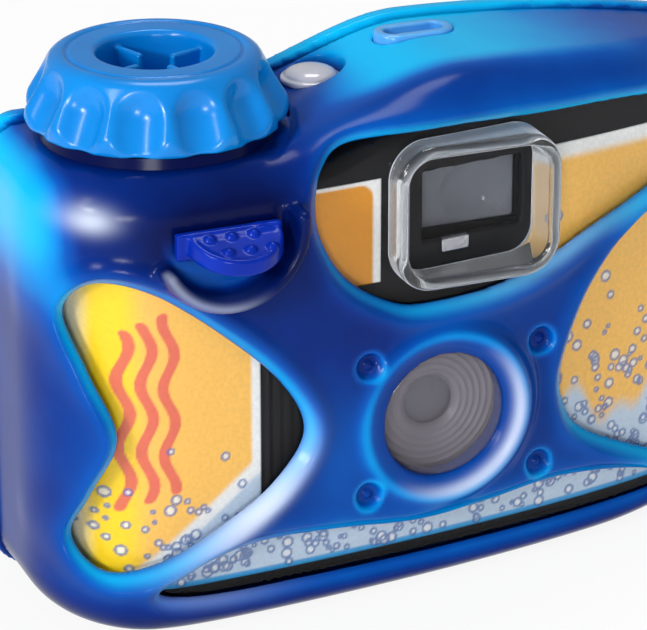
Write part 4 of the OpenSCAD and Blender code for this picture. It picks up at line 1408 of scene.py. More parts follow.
    def build(self, finish: bpy.types.Material) -> None:
        """Meshes and dresses both shells.

        Args:
            finish: tinted finish of the case.
        """
        form, light = self.form, PaintedWallLight(self.form, self.at, self.windows)
        low, high = (-form.left, self.guard_y[0] - self.spare, 0.0), (form.right, self.split_y, self.top_z)
        points, faces = net_mesh(self.front, low, high, self.grid)
        piece = add_mesh("front_shell_moulding", points, faces, **light.layers(points))
        place(piece, Body.CASE, Slot.CASE_BLUE, finish, "front_shell")
        low = (-form.left - self.rim_step, self.split_y, 0.0)
        high = (form.right + self.rim_step, form.rear, self.top_z + self.rim_step)
        points, faces = net_mesh(self.rear, low, high, self.rear_grid)
        # Painted light along the rear shell's raised rim
        rim_end = self.split_y + self.gasket_t + self.rim_w
        rim = ease(*(rim_end + past for past in self.rim_fade), points[:, 1])
        rim = rim * ease(*self.rim_proud, form.distance(*points.T))
        layers = light.layers(points)
        layers["painted_glow"] = np.clip(layers["painted_glow"] + self.rim_painted_glow * rim, 0, 1)
        piece = add_mesh("rear_shell_moulding", points, faces, **layers)
        place(piece, Body.CASE, Slot.CASE_BLUE, finish, "rear_shell")


@dataclass
class ClearParts:
    """Clear panes, the finder bezel and the lens port."""

    form: CaseForm
    at: Places
    windows: dict[Window, Outline]
    pane_in: float = 2.25
    pane_t: float = 1.5
    pane_y: Pair = (-20.0, -2.0)
    pane_spare: float = 2.0
    pane_grid: float = 0.7
    flange: float = 1.1
    pane_edge: float = 0.3
    bezel_size: Pair = (27.0, 23.0)
    bezel_round: float = 6.0
    bezel_wall: float = 2.0
    bezel_front_y: float = -22.6
    bezel_back_y: float = -14.0
    bezel_sunk: float = 0.3
    bezel_edge: float = 0.9
    bezel_grid: float = 0.35
    port_gap: float = 0.05
    port_seat: float = 1.25
    # Steps of the port disc, as radius past its edge and height over its back: flange, wall and round rim
    port_steps: Points = ((1.2, 0.0), (1.25, 1.15), (0.0, 1.2), (0.0, 4.3), (-0.25, 4.7), (-0.9, 4.85))
    port_crown: Points = ((0.6, 5.0), (0.0, 5.05))

    def pane(self, outline: Outline) -> Field:
        """Builds one pane that follows the front face.

        Args:
            outline: outline of its window.

        Returns:
            Field of the pane.
        """
        middle, nudge = self.pane_in + self.pane_t / 2, 0.1

        def shape(x: Array, y: Array, z: Array) -> Array:
            """Measures the pane.

            Args:
                x, y, z: places.

            Returns:
                Distance to the pane.
            """
            fall = self.form.face(x + nudge, middle) - self.form.face(x - nudge, middle)
            depth = (y - self.form.face(x, middle)) / np.hypot(1, fall / (2 * nudge))
            edge = outline.distance(x, z) - self.flange
            sheet = cut_round(np.abs(depth) - self.pane_t / 2, edge, self.pane_edge)
            return np.maximum(sheet, self.form.distance(x, y, z, self.pane_in))

        return shape

    def bezel(self, x: Array, y: Array, z: Array) -> Array:
        """Builds the raised clear frame round the finder, with a round front edge.

        Args:
            x, y, z: places.

        Returns:
            Distance to the frame.
        """
        d = rounded_rectangle(x - self.at.bezel[0], z - self.at.bezel[1], *self.bezel_size, self.bezel_round)
        back = self.form.face(x, self.pane_in + self.bezel_sunk)
        ring = np.abs(d + self.bezel_wall / 2) - self.bezel_wall / 2
        return cut_round(ring, np.maximum(self.bezel_front_y - y, y - back), self.bezel_edge)

    def port(self) -> tuple[Array, Array]:
        """Turns the lens port: a flanged disc with a round rim and a slight crown.

        Returns:
            Points and faces of the disc.
        """
        r = self.at.port_r - self.port_gap
        back = -self.at.port_back_y - self.port_seat
        steps = [(r + past, back + height) for past, height in self.port_steps]
        crown = [(r * share, back + height) for share, height in self.port_crown]
        points, faces = lathe([(0, back), *steps, *crown])
        return face_front(points, self.at.lens_z), faces

    def build(self, sheet: bpy.types.Material, thick: bpy.types.Material, port: bpy.types.Material) -> None:
        """Meshes and dresses the clear pieces.

        Args:
            sheet: finish of the panes.
            thick: finish of the bezel.
            port: finish of the lens port.
        """
        front, back = self.pane_y
        for window, outline in self.windows.items():
            low = outline.low + outline.margin - self.pane_spare
            size = outline.pitch * np.array(outline.raster.shape)
            high = outline.low + size - outline.margin + self.pane_spare
            box = (low[0], front, low[1]), (high[0], back, high[1])
            piece = add_mesh(f"{window.value}_pane", *net_mesh(self.pane(outline), *box, self.pane_grid))
            place(piece, Body.CASE, Slot.CLEAR_PANE, sheet, f"{window.value}_window")
        w, h = self.bezel_size
        x, z = self.at.bezel
        box = (x - w / 2, self.bezel_front_y, z - h / 2), (x + w / 2, self.bezel_back_y, z + h / 2)
        piece = add_mesh("finder_bezel", *net_mesh(self.bezel, *box, self.bezel_grid))
        place(piece, Body.CASE, Slot.CLEAR_PANE, thick, "finder_window")
        place(add_mesh("lens_port_disc", *self.port()), Body.CASE, Slot.PORT_GLASS, port, "lens_port")


@dataclass
class WindingKnob:
    """Fluted winding knob with a round well and four drive ribs."""

    at: Places
    base_z: float = 76.2
    height: float = 10.4
    rim_h: float = 2.1
    r: float = 20.2
    top_r: float = 15.4
    top_edge: float = 0.6
    crown: float = 1.0
    skirt_lean: float = 0.35
    well_r: float = 8.8
    well_taper: float = 0.08
    floor: float = 3.4
    floor_t: float = 1.4
    under_r: float = 15.6
    bore_r: float = 3.05
    groove_r: float = 13.2
    groove_w: float = 0.32
    flutes: int = 13
    flute_phase: float = 21.0
    flute_depth: float = 1.5
    flute_r: float = 4.8
    flute_reach: float = 0.55
    ribs: int = 4
    rib_phase: float = 20.0
    rib_half: float = 0.5
    rib_start: float = 3.2
    rib_h: float = 5.4
    rib_root: float = 0.4
    rib_into_wall: float = 0.2
    rib_edge: float = 0.25
    rib_fillet: float = 0.2
    side_edge: float = 1.0
    top_round: float = 1.1
    foot_edge: float = 0.5
    flute_edge: float = 0.8
    groove_edge: float = 0.1
    grid: float = 0.36

    def lean(self) -> float:
        """Lean of the side from upright."""
        return math.atan2(self.r - self.top_r - self.top_edge, self.height - self.rim_h - self.crown)

    def body(self, r: Array, z: Array) -> Array:
        """Builds the turned form without flutes.

        Args:
            r: distances from the axis.
            z: heights over the knob's foot.

        Returns:
            Distance to the form.
        """
        lean, skirt_lean = self.lean(), self.skirt_lean
        side = (r - self.r) * math.cos(lean) + (z - self.rim_h) * math.sin(lean)
        skirt = (r - self.r) * math.cos(skirt_lean) - (z - self.rim_h) * math.sin(skirt_lean)
        hull = cut_round(cut_round(side, skirt, self.side_edge), z - self.height, self.top_round)
        return cut_round(hull, -z, self.foot_edge)

    def flute(self, x: Array, y: Array, z: Array) -> Array:
        """Builds the ring of flutes, each a leaning rod with a round upper end.

        Args:
            x: places across, from the axis.
            y: places from front to back.
            z: heights over the knob's foot.

        Returns:
            Distance to the nearest rod.
        """
        step = 2 * math.pi / self.flutes
        turn = np.arctan2(y, x) - math.radians(self.flute_phase)
        turn = turn - step * np.round(turn / step)
        r, lean = np.hypot(x, y), self.lean()
        u, v = r * np.cos(turn), r * np.sin(turn)
        start = self.r + self.flute_r - self.flute_depth
        along = (z - self.rim_h) * math.cos(lean) - (u - start) * math.sin(lean)
        along = np.clip(along, 0, self.flute_reach * self.height)
        past_u = u - start + along * math.sin(lean)
        past_z = z - self.rim_h - along * math.cos(lean)
        # Below its start a rod runs straight down, so that the flute stays open at the foot.
        past_z = np.maximum(past_z, 0) + np.minimum(past_z, 0) * (along > 0)
        return np.hypot(np.hypot(past_u, v), past_z) - self.flute_r

    def drive_ribs(self, x: Array, y: Array, z: Array) -> Array:
        """Builds the ribs that stand on the floor of the well.

        Args:
            x: places across, from the axis.
            y: places from front to back.
            z: heights over the knob's foot.

        Returns:
            Distance to the ribs.
        """
        ribs = np.inf
        for k in range(self.ribs):
            a = math.radians(360 / self.ribs * k + self.rib_phase)
            across = np.abs(y * math.cos(a) - x * math.sin(a)) - self.rib_half
            ahead = self.rib_start - (x * math.cos(a) + y * math.sin(a))
            ribs = np.minimum(ribs, np.maximum(across, ahead))
        within = np.maximum(ribs, np.hypot(x, y) - self.well_r + self.rib_into_wall)
        height = np.maximum(z - self.floor - self.rib_h, self.floor - self.rib_root - z)
        return cut_round(within, height, self.rib_edge)

    def shape(self, x: Array, y: Array, z: Array) -> Array:
        """Builds the whole knob in the frame.

        Args:
            x, y, z: places.

        Returns:
            Distance to the knob.
        """
        x, z = x + self.at.form.knob_x, z - self.base_z
        r = np.hypot(x, y)
        knob = cut_round(self.body(r, z), -self.flute(x, y, z), self.flute_edge)
        well = np.maximum(r - self.well_r + self.well_taper * (self.height - z), self.floor - z)
        knob = cut_round(knob, -well, self.flute_edge)
        knob = join_round(knob, self.drive_ribs(x, y, z), self.rib_fillet)
        groove = np.hypot(r - self.groove_r, z - self.height) - self.groove_w
        knob = cut_round(knob, -groove, self.groove_edge)
        under = np.maximum(r - self.under_r, z - self.floor + self.floor_t)
        return common(knob, -under, self.bore_r - r)

    def build(self, finish: bpy.types.Material) -> None:
        """Meshes and dresses the knob.

        Args:
            finish: gloss finish of the knob.
        """
        middle = -self.at.form.knob_x
        low = (middle - self.r, -self.r, self.base_z)
        high = (middle + self.r, self.r, self.base_z + self.height)
        piece = add_mesh("winding_knob", *net_mesh(self.shape, low, high, self.grid))
        place(piece, Body.ADVANCE, Slot.KNOB_BLUE, finish, "advance_knob")


@dataclass
class ShutterLever:
    """Upright web with a sloping half-round paddle, staggered grip bumps and the hub on its shaft."""

    at: Places
    paddle_x: float = -35.6
    paddle_r: float = 7.6
    paddle_t: float = 2.6
    paddle_drop: float = 0.3
    paddle_taper: float = 0.19
    paddle_root: float = 0.5
    tilt: float = 20.0
    dish: float = 0.16
    dish_edge: Pair = (0.8, 1.8)
    dish_root: Pair = (-0.4, -1.6)
    web_x: float = -36.3
    web_y: float = -22.4
    web_w: float = 16.4
    web_t: float = 1.4
    web_foot: float = 1.0
    top_z: float = 66.2
    hub_r: float = 3.0
    hub_len: float = 2.2
    bore_r: float = 2.25
    bore_len: float = 1.2
    bump_x: float = 3.4
    bump_r: float = 0.9
    bump_sunk: float = 0.35
    bump_fillet: float = 0.2
    paddle_edge: float = 0.5
    web_edge: Pair = (0.4, 0.25)
    web_fillet: float = 0.4
    hub_fillet: float = 0.3
    bump_rows: Points = ((1.2, -0.9), (4.5, 0.9))
    grid: float = 0.28

    def paddle(self, x: Array, y: Array, z: Array) -> Array:
        """Builds the sloping paddle with a shallow dish and two rows of bumps.

        Args:
            x, y, z: places.

        Returns:
            Distance to the paddle.
        """
        dx, dy = x - self.paddle_x, y - self.web_y + self.web_t
        dz = z - self.top_z + self.paddle_drop
        a = math.radians(self.tilt)
        ahead, up = dy * math.cos(a) + dz * math.sin(a), dz * math.cos(a) - dy * math.sin(a)
        r = np.hypot(dx, ahead)
        dish = self.dish * ease(*(self.paddle_r - edge for edge in self.dish_edge), r)
        slab = np.maximum(up + dish * ease(*self.dish_root, ahead), -up - self.paddle_t)
        rim = r - self.paddle_r + self.paddle_taper * (up + self.paddle_t)
        shape = np.maximum(cut_round(rim, slab, self.paddle_edge), ahead - self.paddle_root)
        for row, shift in self.bump_rows:
            for k in (-1, 0, 1):
                aside = dx - self.bump_x * k - shift
                bump = np.sqrt(aside**2 + (ahead + row) ** 2 + (up + self.bump_sunk) ** 2) - self.bump_r
                shape = join_round(shape, bump, self.bump_fillet)
        return shape

    def shape(self, x: Array, y: Array, z: Array) -> Array:
        """Builds the whole lever in the frame.

        Args:
            x, y, z: places.

        Returns:
            Distance to the lever.
        """
        shaft_x, shaft_z = self.at.lever_shaft
        deep = self.web_y - y
        across = np.abs(x - self.web_x) - self.web_w / 2
        upright = np.maximum(z - self.top_z, shaft_z - self.web_foot - z)
        sheet = np.abs(deep - self.web_t / 2) - self.web_t / 2
        corner_r, edge_r = self.web_edge
        web = cut_round(cut_round(across, upright, corner_r), sheet, edge_r)
        axle = np.hypot(x - shaft_x, z - shaft_z)
        hub = common(axle - self.hub_r, -deep, deep - self.hub_len)
        bore = np.maximum(axle - self.bore_r, deep - self.bore_len)
        lever = join_round(self.paddle(x, y, z), web, self.web_fillet)
        return np.maximum(join_round(lever, hub, self.hub_fillet), -bore)

    def build(self, finish: bpy.types.Material) -> None:
        """Meshes and dresses the lever.

        Args:
            finish: finish of the lever.
        """
        below_shaft, spare_x, spare_z = 3.4, 1.0, 0.6
        front = self.web_y - self.web_t - self.paddle_r
        low = (self.web_x - self.web_w / 2, front, self.at.lever_shaft[1] - below_shaft)
        high = (self.web_x + self.web_w / 2 + spare_x, self.web_y, self.top_z + spare_z)
        piece = add_mesh("lever_paddle", *net_mesh(self.shape, low, high, self.grid))
        place(piece, Body.LEVER, Slot.LEVER_BLUE, finish, "shutter_lever")


@dataclass
class TopFittings:
    """Counter dome and opening-slot insert on the arch."""

    form: CaseForm
    at: Places
    slot_cut: Pair = (9.6, 3.2)
    slot_round: float = 1.4
    slot_proud: float = 0.4
    slot_seat: float = 2.6
    slot_depth: float = 1.8
    slot_rim: float = 0.5
    slot_lip: float = 0.35
    slot_grid: float = 0.25
    dome_brim: float = 0.6
    dome_foot: float = 0.8
    dome_rise: float = 1.6
    dome_steps: int = 10
    dome_last: float = 0.12
    dome_neck: float = 0.2

    def slot_top(self) -> float:
        """Height of the ring's upper face."""
        return float(self.form.top(np.array(self.at.slot[0]))) + self.slot_proud

    def slot_ring(self, x: Array, y: Array, z: Array) -> Array:
        """Builds the raised stadium ring with its blind slot.

        Args:
            x, y, z: places.

        Returns:
            Distance to the ring.
        """
        top = self.slot_top()
        height = np.maximum(z - top, top - self.slot_seat - z)
        ring = cut_round(self.at.slot_edge(x, y), height, self.slot_rim)
        hole = rounded_rectangle(x - self.at.slot[0], y - self.at.slot[1], *self.slot_cut, self.slot_round)
        return cut_round(ring, -np.maximum(hole, top - self.slot_depth - z), self.slot_lip)

    def dome(self) -> tuple[Array, Array]:
        """Turns the counter's dome with its narrow brim.

        Returns:
            Points and faces of the dome.
        """
        r, brim, foot = self.at.counter_r, self.dome_brim, self.dome_foot
        angles = np.linspace(math.pi / 2, self.dome_last, self.dome_steps)
        arc = [((r - brim) * math.sin(a), foot + self.dome_rise * math.cos(a)) for a in angles]
        edge = [(r, 0), (r, brim), (r - self.dome_neck, foot)]
        points, faces = lathe([(0, 0), *edge, *arc, (0, foot + self.dome_rise)])
        return points + np.array([*self.at.counter, self.at.counter_z]), faces

    def build(self, dome: bpy.types.Material, ring: bpy.types.Material) -> None:
        """Meshes and dresses the fittings.

        Args:
            dome: finish of the counter's dome.
            ring: finish of the slot's insert.
        """
        piece = add_mesh("counter_dome_lens", *self.dome())
        place(piece, Body.CASE, Slot.COUNTER_DOME, dome, "counter_lens")
        long, wide = self.at.slot_size
        x, y = self.at.slot
        top = self.slot_top()
        box = (x - long / 2, y - wide / 2, top - self.slot_seat), (x + long / 2, y + wide / 2, top)
        piece = add_mesh("opening_slot_ring", *net_mesh(self.slot_ring, *box, self.slot_grid))
        place(piece, Body.CASE, Slot.SLOT_BLUE, ring, "slot_insert")


# Inner camera


@dataclass
class InnerCamera:
    """Black front cover with grip ribs, a catch plate and the printed label."""

    form: CaseForm
    at: Places
    cover_in: float = 4.3
    cover_t: float = 1.2
    cover_top_z: float = 78.5
    cover_spare: float = 0.1
    cover_grid: float = 0.6
    rib_pitch: float = 1.7
    rib_depth: float = 0.22
    rib_from: Pair = (-30.4, -29.6)
    rib_to: Pair = (-19.0, -20.5)
    rib_front: Pair = (-4.0, -8.0)
    cut_y: float = -2.0
    lens_room_r: float = 13.6
    finder_hole: Pair = (17.4, 11.2)
    lever_room_at: Pair = (-35.4, 63.1)
    lever_room: Pair = (20.0, 13.0)
    hole_r: float = 0.4
    knob_room: Pair = (6.4, 60.0)
    catch_at: Pair = (3.4, 54.9)
    catch_size: Pair = (4.8, 2.2)
    catch_t: float = 1.0
    catch_round: Pair = (0.4, 0.2)
    catch_grid: float = 0.12
    label_in: float = 4.05
    label_pitch: float = 0.26

    def cover(self, x: Array, y: Array, z: Array) -> Array:
        """Builds the front cover with its openings and a row of upright ribs beside the label.

        Args:
            x, y, z: places.

        Returns:
            Distance to the cover.
        """
        form, at = self.form, self.at
        ribs = self.rib_depth * np.cos(2 * math.pi * x / self.rib_pitch)
        ribs = ribs * ease(*self.rib_from, x) * ease(*self.rib_to, x) * ease(*self.rib_front, y)
        outside = form.distance(x, y, z, self.cover_in) + ribs
        shell = np.maximum(outside, -form.distance(x, y, z, self.cover_in + self.cover_t))
        lens = at.from_lens(x, z) - self.lens_room_r
        finder = rounded_rectangle(x - at.finder[0], z - at.finder[1], *self.finder_hole, self.hole_r)
        room_x, room_z = self.lever_room_at
        lever = rounded_rectangle(x - room_x, z - room_z, *self.lever_room, self.hole_r)
        openings = np.maximum(np.minimum(lens, np.minimum(finder, lever)), y - self.cut_y)
        knob_r, knob_foot = self.knob_room
        knob = np.maximum(at.from_knob(x, y) - knob_r, knob_foot - z)
        return common(shell, -openings, -knob, y)

    def catch(self, x: Array, y: Array, z: Array) -> Array:
        """Builds the small bright plate below the finder lens.

        Args:
            x, y, z: places.

        Returns:
            Distance to the plate.
        """
        (cx, cz), (corner_r, edge_r) = self.catch_at, self.catch_round
        plate = rounded_rectangle(x - cx, z - cz, *self.catch_size, corner_r)
        depth = np.abs(y - self.form.face(x, self.cover_in)) - self.catch_t / 2
        return cut_round(plate, depth, edge_r)

    def build(self, black: bpy.types.Material, card: bpy.types.Material, steel: bpy.types.Material) -> None:
        """Meshes and dresses the cover, the catch plate and the label.

        Args:
            black: finish of the cover.
            card: finish of the label.
            steel: finish of the catch plate.
        """
        form, inset = self.form, self.cover_in
        low = (-form.left + inset, -form.front + inset - self.cover_spare, inset)
        high = (form.right - inset, 0.0, self.cover_top_z)
        piece = add_mesh("front_cover_ribbed", *net_mesh(self.cover, low, high, self.cover_grid))
        place(piece, Body.CASE, Slot.INNER_BLACK, black, "front_cover")
        x, z = self.catch_at
        w, h = self.catch_size
        y = float(form.face(np.array(x), inset))
        box = (x - w / 2, y - self.catch_t, z - h / 2), (x + w / 2, y + self.catch_t, z + h / 2)
        piece = add_mesh("finder_catch_plate", *net_mesh(self.catch, *box, self.catch_grid))
        place(piece, Body.CASE, Slot.STEEL, steel)
        piece = LabelPrint().sheet(form, self.label_in, self.label_pitch)
        place(piece, Body.CASE, Slot.LABEL_PRINT, card, "front_label")


class Ink(Enum):
    """Inks of the printed label."""

    AMBER = "#fcc258"
    YELLOW = "#ffd400"
    CREAM = "#f3ecd8"
    WHITE = "#f2f3f1"
    ORANGE = "#e39400"
    CORAL = "#e25f50"
    WATER = "#c3d6e8"
    DEEP = "#2c62a8"
    LINE = "#2a9edc"


@dataclass(frozen=True)
class BubbleField:
    """Stretch of the print with scattered bubbles, thicker towards its foot."""

    low: float
    high: float
    foot: float
    spread: float
    count: int


Layers = list[tuple[Ink, Array]]


@dataclass
class LabelPrint:
    """Generic printed design: amber panels, coral waves, water with bubbles."""

    left_panel: Panel = (-58.0, -29.5, 6.2, 58.6)
    right_panel: Panel = (21.0, 49.0, 8.0, 67.6)
    patch: Panel = (-21.5, -9.3, 50.8, 68.4)
    brow_panel: Panel = (17.8, 49.0, 47.6, 67.6)
    strip: Panel = (-58.0, 49.0, 6.2, 16.5)
    card_t: float = 0.2
    yellow_fade: Pair = (-46.5, -51.0)
    cream_fade: Pair = (-54.0, -57.5)
    patch_zone: Panel = (-22.0, 0.0, 45.0, 70.0)
    patch_frame_at: Pair = (-20.3, 57.8)
    patch_frame: Pair = (19.4, 18.6)
    patch_round: float = 2.4
    patch_edge: Pair = (-0.3, 0.1)
    waves: int = 3
    wave_x: float = -50.6
    wave_pitch: float = 3.3
    wave_swing: float = 0.9
    wave_len: float = 11.0
    wave_lag: float = 0.5
    wave_z: float = 34.5
    wave_step: float = 1.2
    wave_half: float = 14.0
    wave_edge: Pair = (1.0, 0.75)
    wave_share: float = 0.92
    shore: Pair = (-29.5, 24.0)
    shore_slope: float = 0.83
    shore_end: float = -29.0
    shore_edge: Pair = (0.2, -1.0)
    foam: Pair = (3.2, 1.4)
    foam_reach: Pair = (-6.0, -2.0)
    surface_x: float = 20.0
    surface_edge: Pair = (2.0, -2.0)
    # Ripples of the water, as (height, length), over its level
    deep_level: float = 22.0
    deep_ripples: Points = ((3.0, 3.1), (1.6, 1.3))
    calm_level: float = 14.2
    calm_ripples: Points = ((0.8, 4.0),)
    line_edge: Pair = (1.0, 0.7)
    divider_edge: Pair = (1.7, 1.1)
    divider_foot: Pair = (22.0, 24.0)
    brow_edge: Pair = (3.4, 1.6)
    bubble_fields: tuple[BubbleField, ...] = (
        BubbleField(-57.0, -32.0, 9.0, 9.0, 46),
        BubbleField(21.0, 49.0, 10.0, 18.0, 150),
        BubbleField(-45.0, 48.0, 7.0, 5.0, 170),
    )
    bubble_r: Pair = (0.25, 0.85)
    bubble_ring: Pair = (0.28, 0.1)
    bubble_soft: float = 0.25
    fill_share: float = 0.75
    ring_share: float = 0.8
    seed: int = 7

    def inside(self, x: Array, z: Array, box: Panel) -> Array:
        """Distance to a panel's border, positive inside."""
        return np.minimum(np.minimum(x - box[0], box[1] - x), np.minimum(z - box[2], box[3] - z))

    def covered(self, x: Array, z: Array) -> Array:
        """Where the card lies."""
        boxes = self.left_panel, self.right_panel, self.strip, self.patch, self.brow_panel
        return np.any([self.inside(x, z, box) > 0 for box in boxes], 0)

    def panels(self, x: Array, z: Array) -> Layers:
        """Colours the dry panels and lays upright wavy stripes with round ends on the left one.

        Args:
            x, z: places on the card.

        Returns:
            Inks with their shares.
        """
        stripes = np.zeros(x.shape)
        for k in range(self.waves):
            swing = self.wave_swing * np.sin(2 * math.pi * z / self.wave_len + self.wave_lag * k)
            middle = self.wave_x + self.wave_pitch * k + swing
            ends = np.maximum(np.abs(z - self.wave_z - self.wave_step * k) - self.wave_half, 0)
            stripes = np.maximum(stripes, ease(*self.wave_edge, np.hypot(x - middle, ends)))
        return [
            (Ink.YELLOW, ease(*self.yellow_fade, x)),
            (Ink.CREAM, ease(*self.cream_fade, x)),
            (Ink.ORANGE, self.inside(x, z, self.patch_zone) > 0),
            (Ink.CORAL, stripes * self.wave_share),
        ]

    def water(self, x: Array, z: Array) -> Layers:
        """Lays a slanting shore with foam on the left panel, ripples elsewhere and a line along the foot.

        Args:
            x, z: places on the card.

        Returns:
            Inks with their shares.
        """
        shore_x, shore_z = self.shore
        slant = (z - shore_z) - (x - shore_x) * self.shore_slope
        left = x < self.shore_end
        deep = self.deep_level + sum(high * np.sin(x / long) for high, long in self.deep_ripples)
        calm = self.calm_level + sum(high * np.sin(x / long) for high, long in self.calm_ripples)
        surface = np.where(x > self.surface_x, deep, calm)
        return [
            (Ink.WHITE, left * ease(*self.foam, slant) * ease(*self.foam_reach, -np.abs(slant))),
            (Ink.WATER, left * ease(*self.shore_edge, slant)),
            (Ink.WATER, (x > self.shore_end) * ease(*self.surface_edge, z - surface)),
            (Ink.LINE, ease(*self.line_edge, z - self.strip[2])),
        ]

    def bubbles(self, x: Array, z: Array) -> Layers:
        """Scatters bubbles with pale fills and dark rings.

        Args:
            x, z: places on the card.

        Returns:
            Inks with their shares.
        """
        rng = np.random.default_rng(self.seed)
        ring, fill = np.zeros(x.shape), np.zeros(x.shape)
        for stretch in self.bubble_fields:
            for _ in range(stretch.count):
                cx = rng.uniform(stretch.low, stretch.high)
                cz = stretch.foot + abs(rng.normal(0, stretch.spread))
                r = rng.uniform(*self.bubble_r)
                d = np.hypot(x - cx, z - cz)
                ring = np.maximum(ring, ease(*self.bubble_ring, np.abs(d - r)))
                fill = np.maximum(fill, ease(r, r - self.bubble_soft, d))
        return [(Ink.WHITE, self.fill_share * fill), (Ink.DEEP, self.ring_share * ring)]

    def borders(self, x: Array, z: Array) -> Layers:
        """Lays the white borders: right of the left panel, round the patch and along the brow.

        Args:
            x, z: places on the card.

        Returns:
            Inks with their shares.
        """
        divider = ease(*self.divider_edge, np.abs(x - self.left_panel[1])) * ease(*self.divider_foot, z)
        frame_x, frame_z = self.patch_frame_at
        frame = rounded_rectangle(x - frame_x, z - frame_z, *self.patch_frame, self.patch_round)
        round_patch = ease(*self.patch_edge, frame) * (self.inside(x, z, self.patch_zone) > 0)
        brow = ease(*self.brow_edge, self.brow_panel[3] - z) * (x > 0)
        return [(Ink.WHITE, divider), (Ink.WHITE, round_patch), (Ink.WHITE, brow)]

    def colours(self, x: Array, z: Array) -> Array:
        """Lays the inks over each other.

        Args:
            x, z: places on the card.

        Returns:
            Linear colour at each place.
        """
        tone = np.tile(np.array(linear(Ink.AMBER.value)), (len(x), 1))
        parts = self.panels, self.water, self.bubbles, self.borders
        for ink, share in (layer for part in parts for layer in part(x, z)):
            tone = tone + (np.array(linear(ink.value)) - tone) * share[:, None]
        return tone

    def sheet(self, form: CaseForm, inset: float, pitch: float) -> bpy.types.Object:
        """Meshes the card on the front of the inner camera.

        Args:
            form: outer form of the case.
            inset: depth of the card below the outer skin.
            pitch: size of one face.

        Returns:
            The card as a thin closed sheet.
        """
        xs = np.arange(self.left_panel[0], self.right_panel[1], pitch)
        zs = np.arange(self.strip[2], self.brow_panel[3], pitch)
        gx, gz = np.meshgrid(xs, zs, indexing="ij")
        index = np.arange(gx.size).reshape(gx.shape)
        quads = np.stack([index[:-1, :-1], index[1:, :-1], index[1:, 1:], index[:-1, 1:]], -1).reshape(-1, 4)
        keep = self.covered((gx[:-1, :-1] + pitch / 2).ravel(), (gz[:-1, :-1] + pitch / 2).ravel())
        used, faces = np.unique(quads[keep], return_inverse=True)
        x, z = gx.ravel()[used], gz.ravel()[used]
        points = np.stack([x, form.face(x, inset), z], 1)
        card = add_mesh("printed_label", points, faces.reshape(-1, 4), print=self.colours(x, z))
        thick = card.modifiers.new("card_thickness", "SOLIDIFY")
        thick.thickness = self.card_t * MM
        thick.offset = -1.0
        return card


@dataclass
class LensBarrel:
    """Dished retainer with stepped rings in front of the taking lens."""

    at: Places
    face_y: float = -14.36
    thick: float = 1.0
    r: float = 12.6
    lens_r: float = 4.4
    steps: int = 6
    step_from: float = 1.0
    step_pitch: float = 1.1
    # Rim and one step of the face, as (inward, height over the back), and the lens seat, as (outward, height)
    rim: Points = ((0.0, 0.0), (0.0, 0.8), (0.3, 1.0))
    step: Points = ((0.0, 1.0), (0.15, 0.85), (0.75, 0.8), (0.9, 0.95))
    seat: Points = ((0.6, 0.9), (-0.4, 0.2))

    def build(self, finish: bpy.types.Material) -> None:
        """Turns and dresses the retainer.

        Args:
            finish: finish of the retainer.
        """
        back, inner = -self.face_y - self.thick, self.lens_r + self.seat[-1][0]
        starts = [self.r - self.step_from - self.step_pitch * k for k in range(self.steps)]
        rings = [(inner, back)]
        for r, stretch in [(self.r, self.rim), *((start, self.step) for start in starts)]:
            rings += [(r - inward, back + height) for inward, height in stretch]
        rings += [(self.lens_r + outward, back + height) for outward, height in self.seat]
        points, faces = lathe(rings)
        piece = add_mesh("lens_retainer_dished", face_front(points, self.at.lens_z), faces)
        place(piece, Body.CASE, Slot.INNER_BLACK, finish, "lens_retainer")


@dataclass
class FinderLens:
    """Front lens of the finder: a moulded plate with a round dish in its face."""

    node: str = "finder_front_lens"
    dish_r: float = 4.3
    dish_depth: float = 1.2
    corner_r: float = 0.6
    plate_edge: float = 0.25
    dish_edge: float = 0.15
    grid: float = 0.22

    def build(self, finish: bpy.types.Material) -> None:
        """Meshes and dresses the lens in the space of its solid.

        Args:
            finish: polished finish of the lens.
        """
        low, high = solid_box(self.node)
        middle, size = (low + high) / 2, high - low
        ball = (self.dish_r**2 + self.dish_depth**2) / (2 * self.dish_depth)

        def shape(x: Array, y: Array, z: Array) -> Array:
            """Measures the lens.

            Args:
                x, y, z: places.

            Returns:
                Distance to the lens.
            """
            edge = rounded_rectangle(x - middle[0], z - middle[2], size[0], size[2], self.corner_r)
            plate = cut_round(edge, np.abs(y - middle[1]) - size[1] / 2, self.plate_edge)
            deep = y - low[1] - self.dish_depth + ball
            dish = np.sqrt((x - middle[0]) ** 2 + deep**2 + (z - middle[2]) ** 2) - ball
            return cut_round(plate, -dish, self.dish_edge)

        piece = add_mesh("finder_lens_dished", *net_mesh(shape, low, high, self.grid))
        place(piece, Body.CASE, Slot.LENS_CLEAR, finish, self.node)


@dataclass(frozen=True)
class Coil:
    """One coil spring: its names, mean radius, wire radius and turns."""

    name: str
    node: str
    r: float
    wire: float
    turns: int


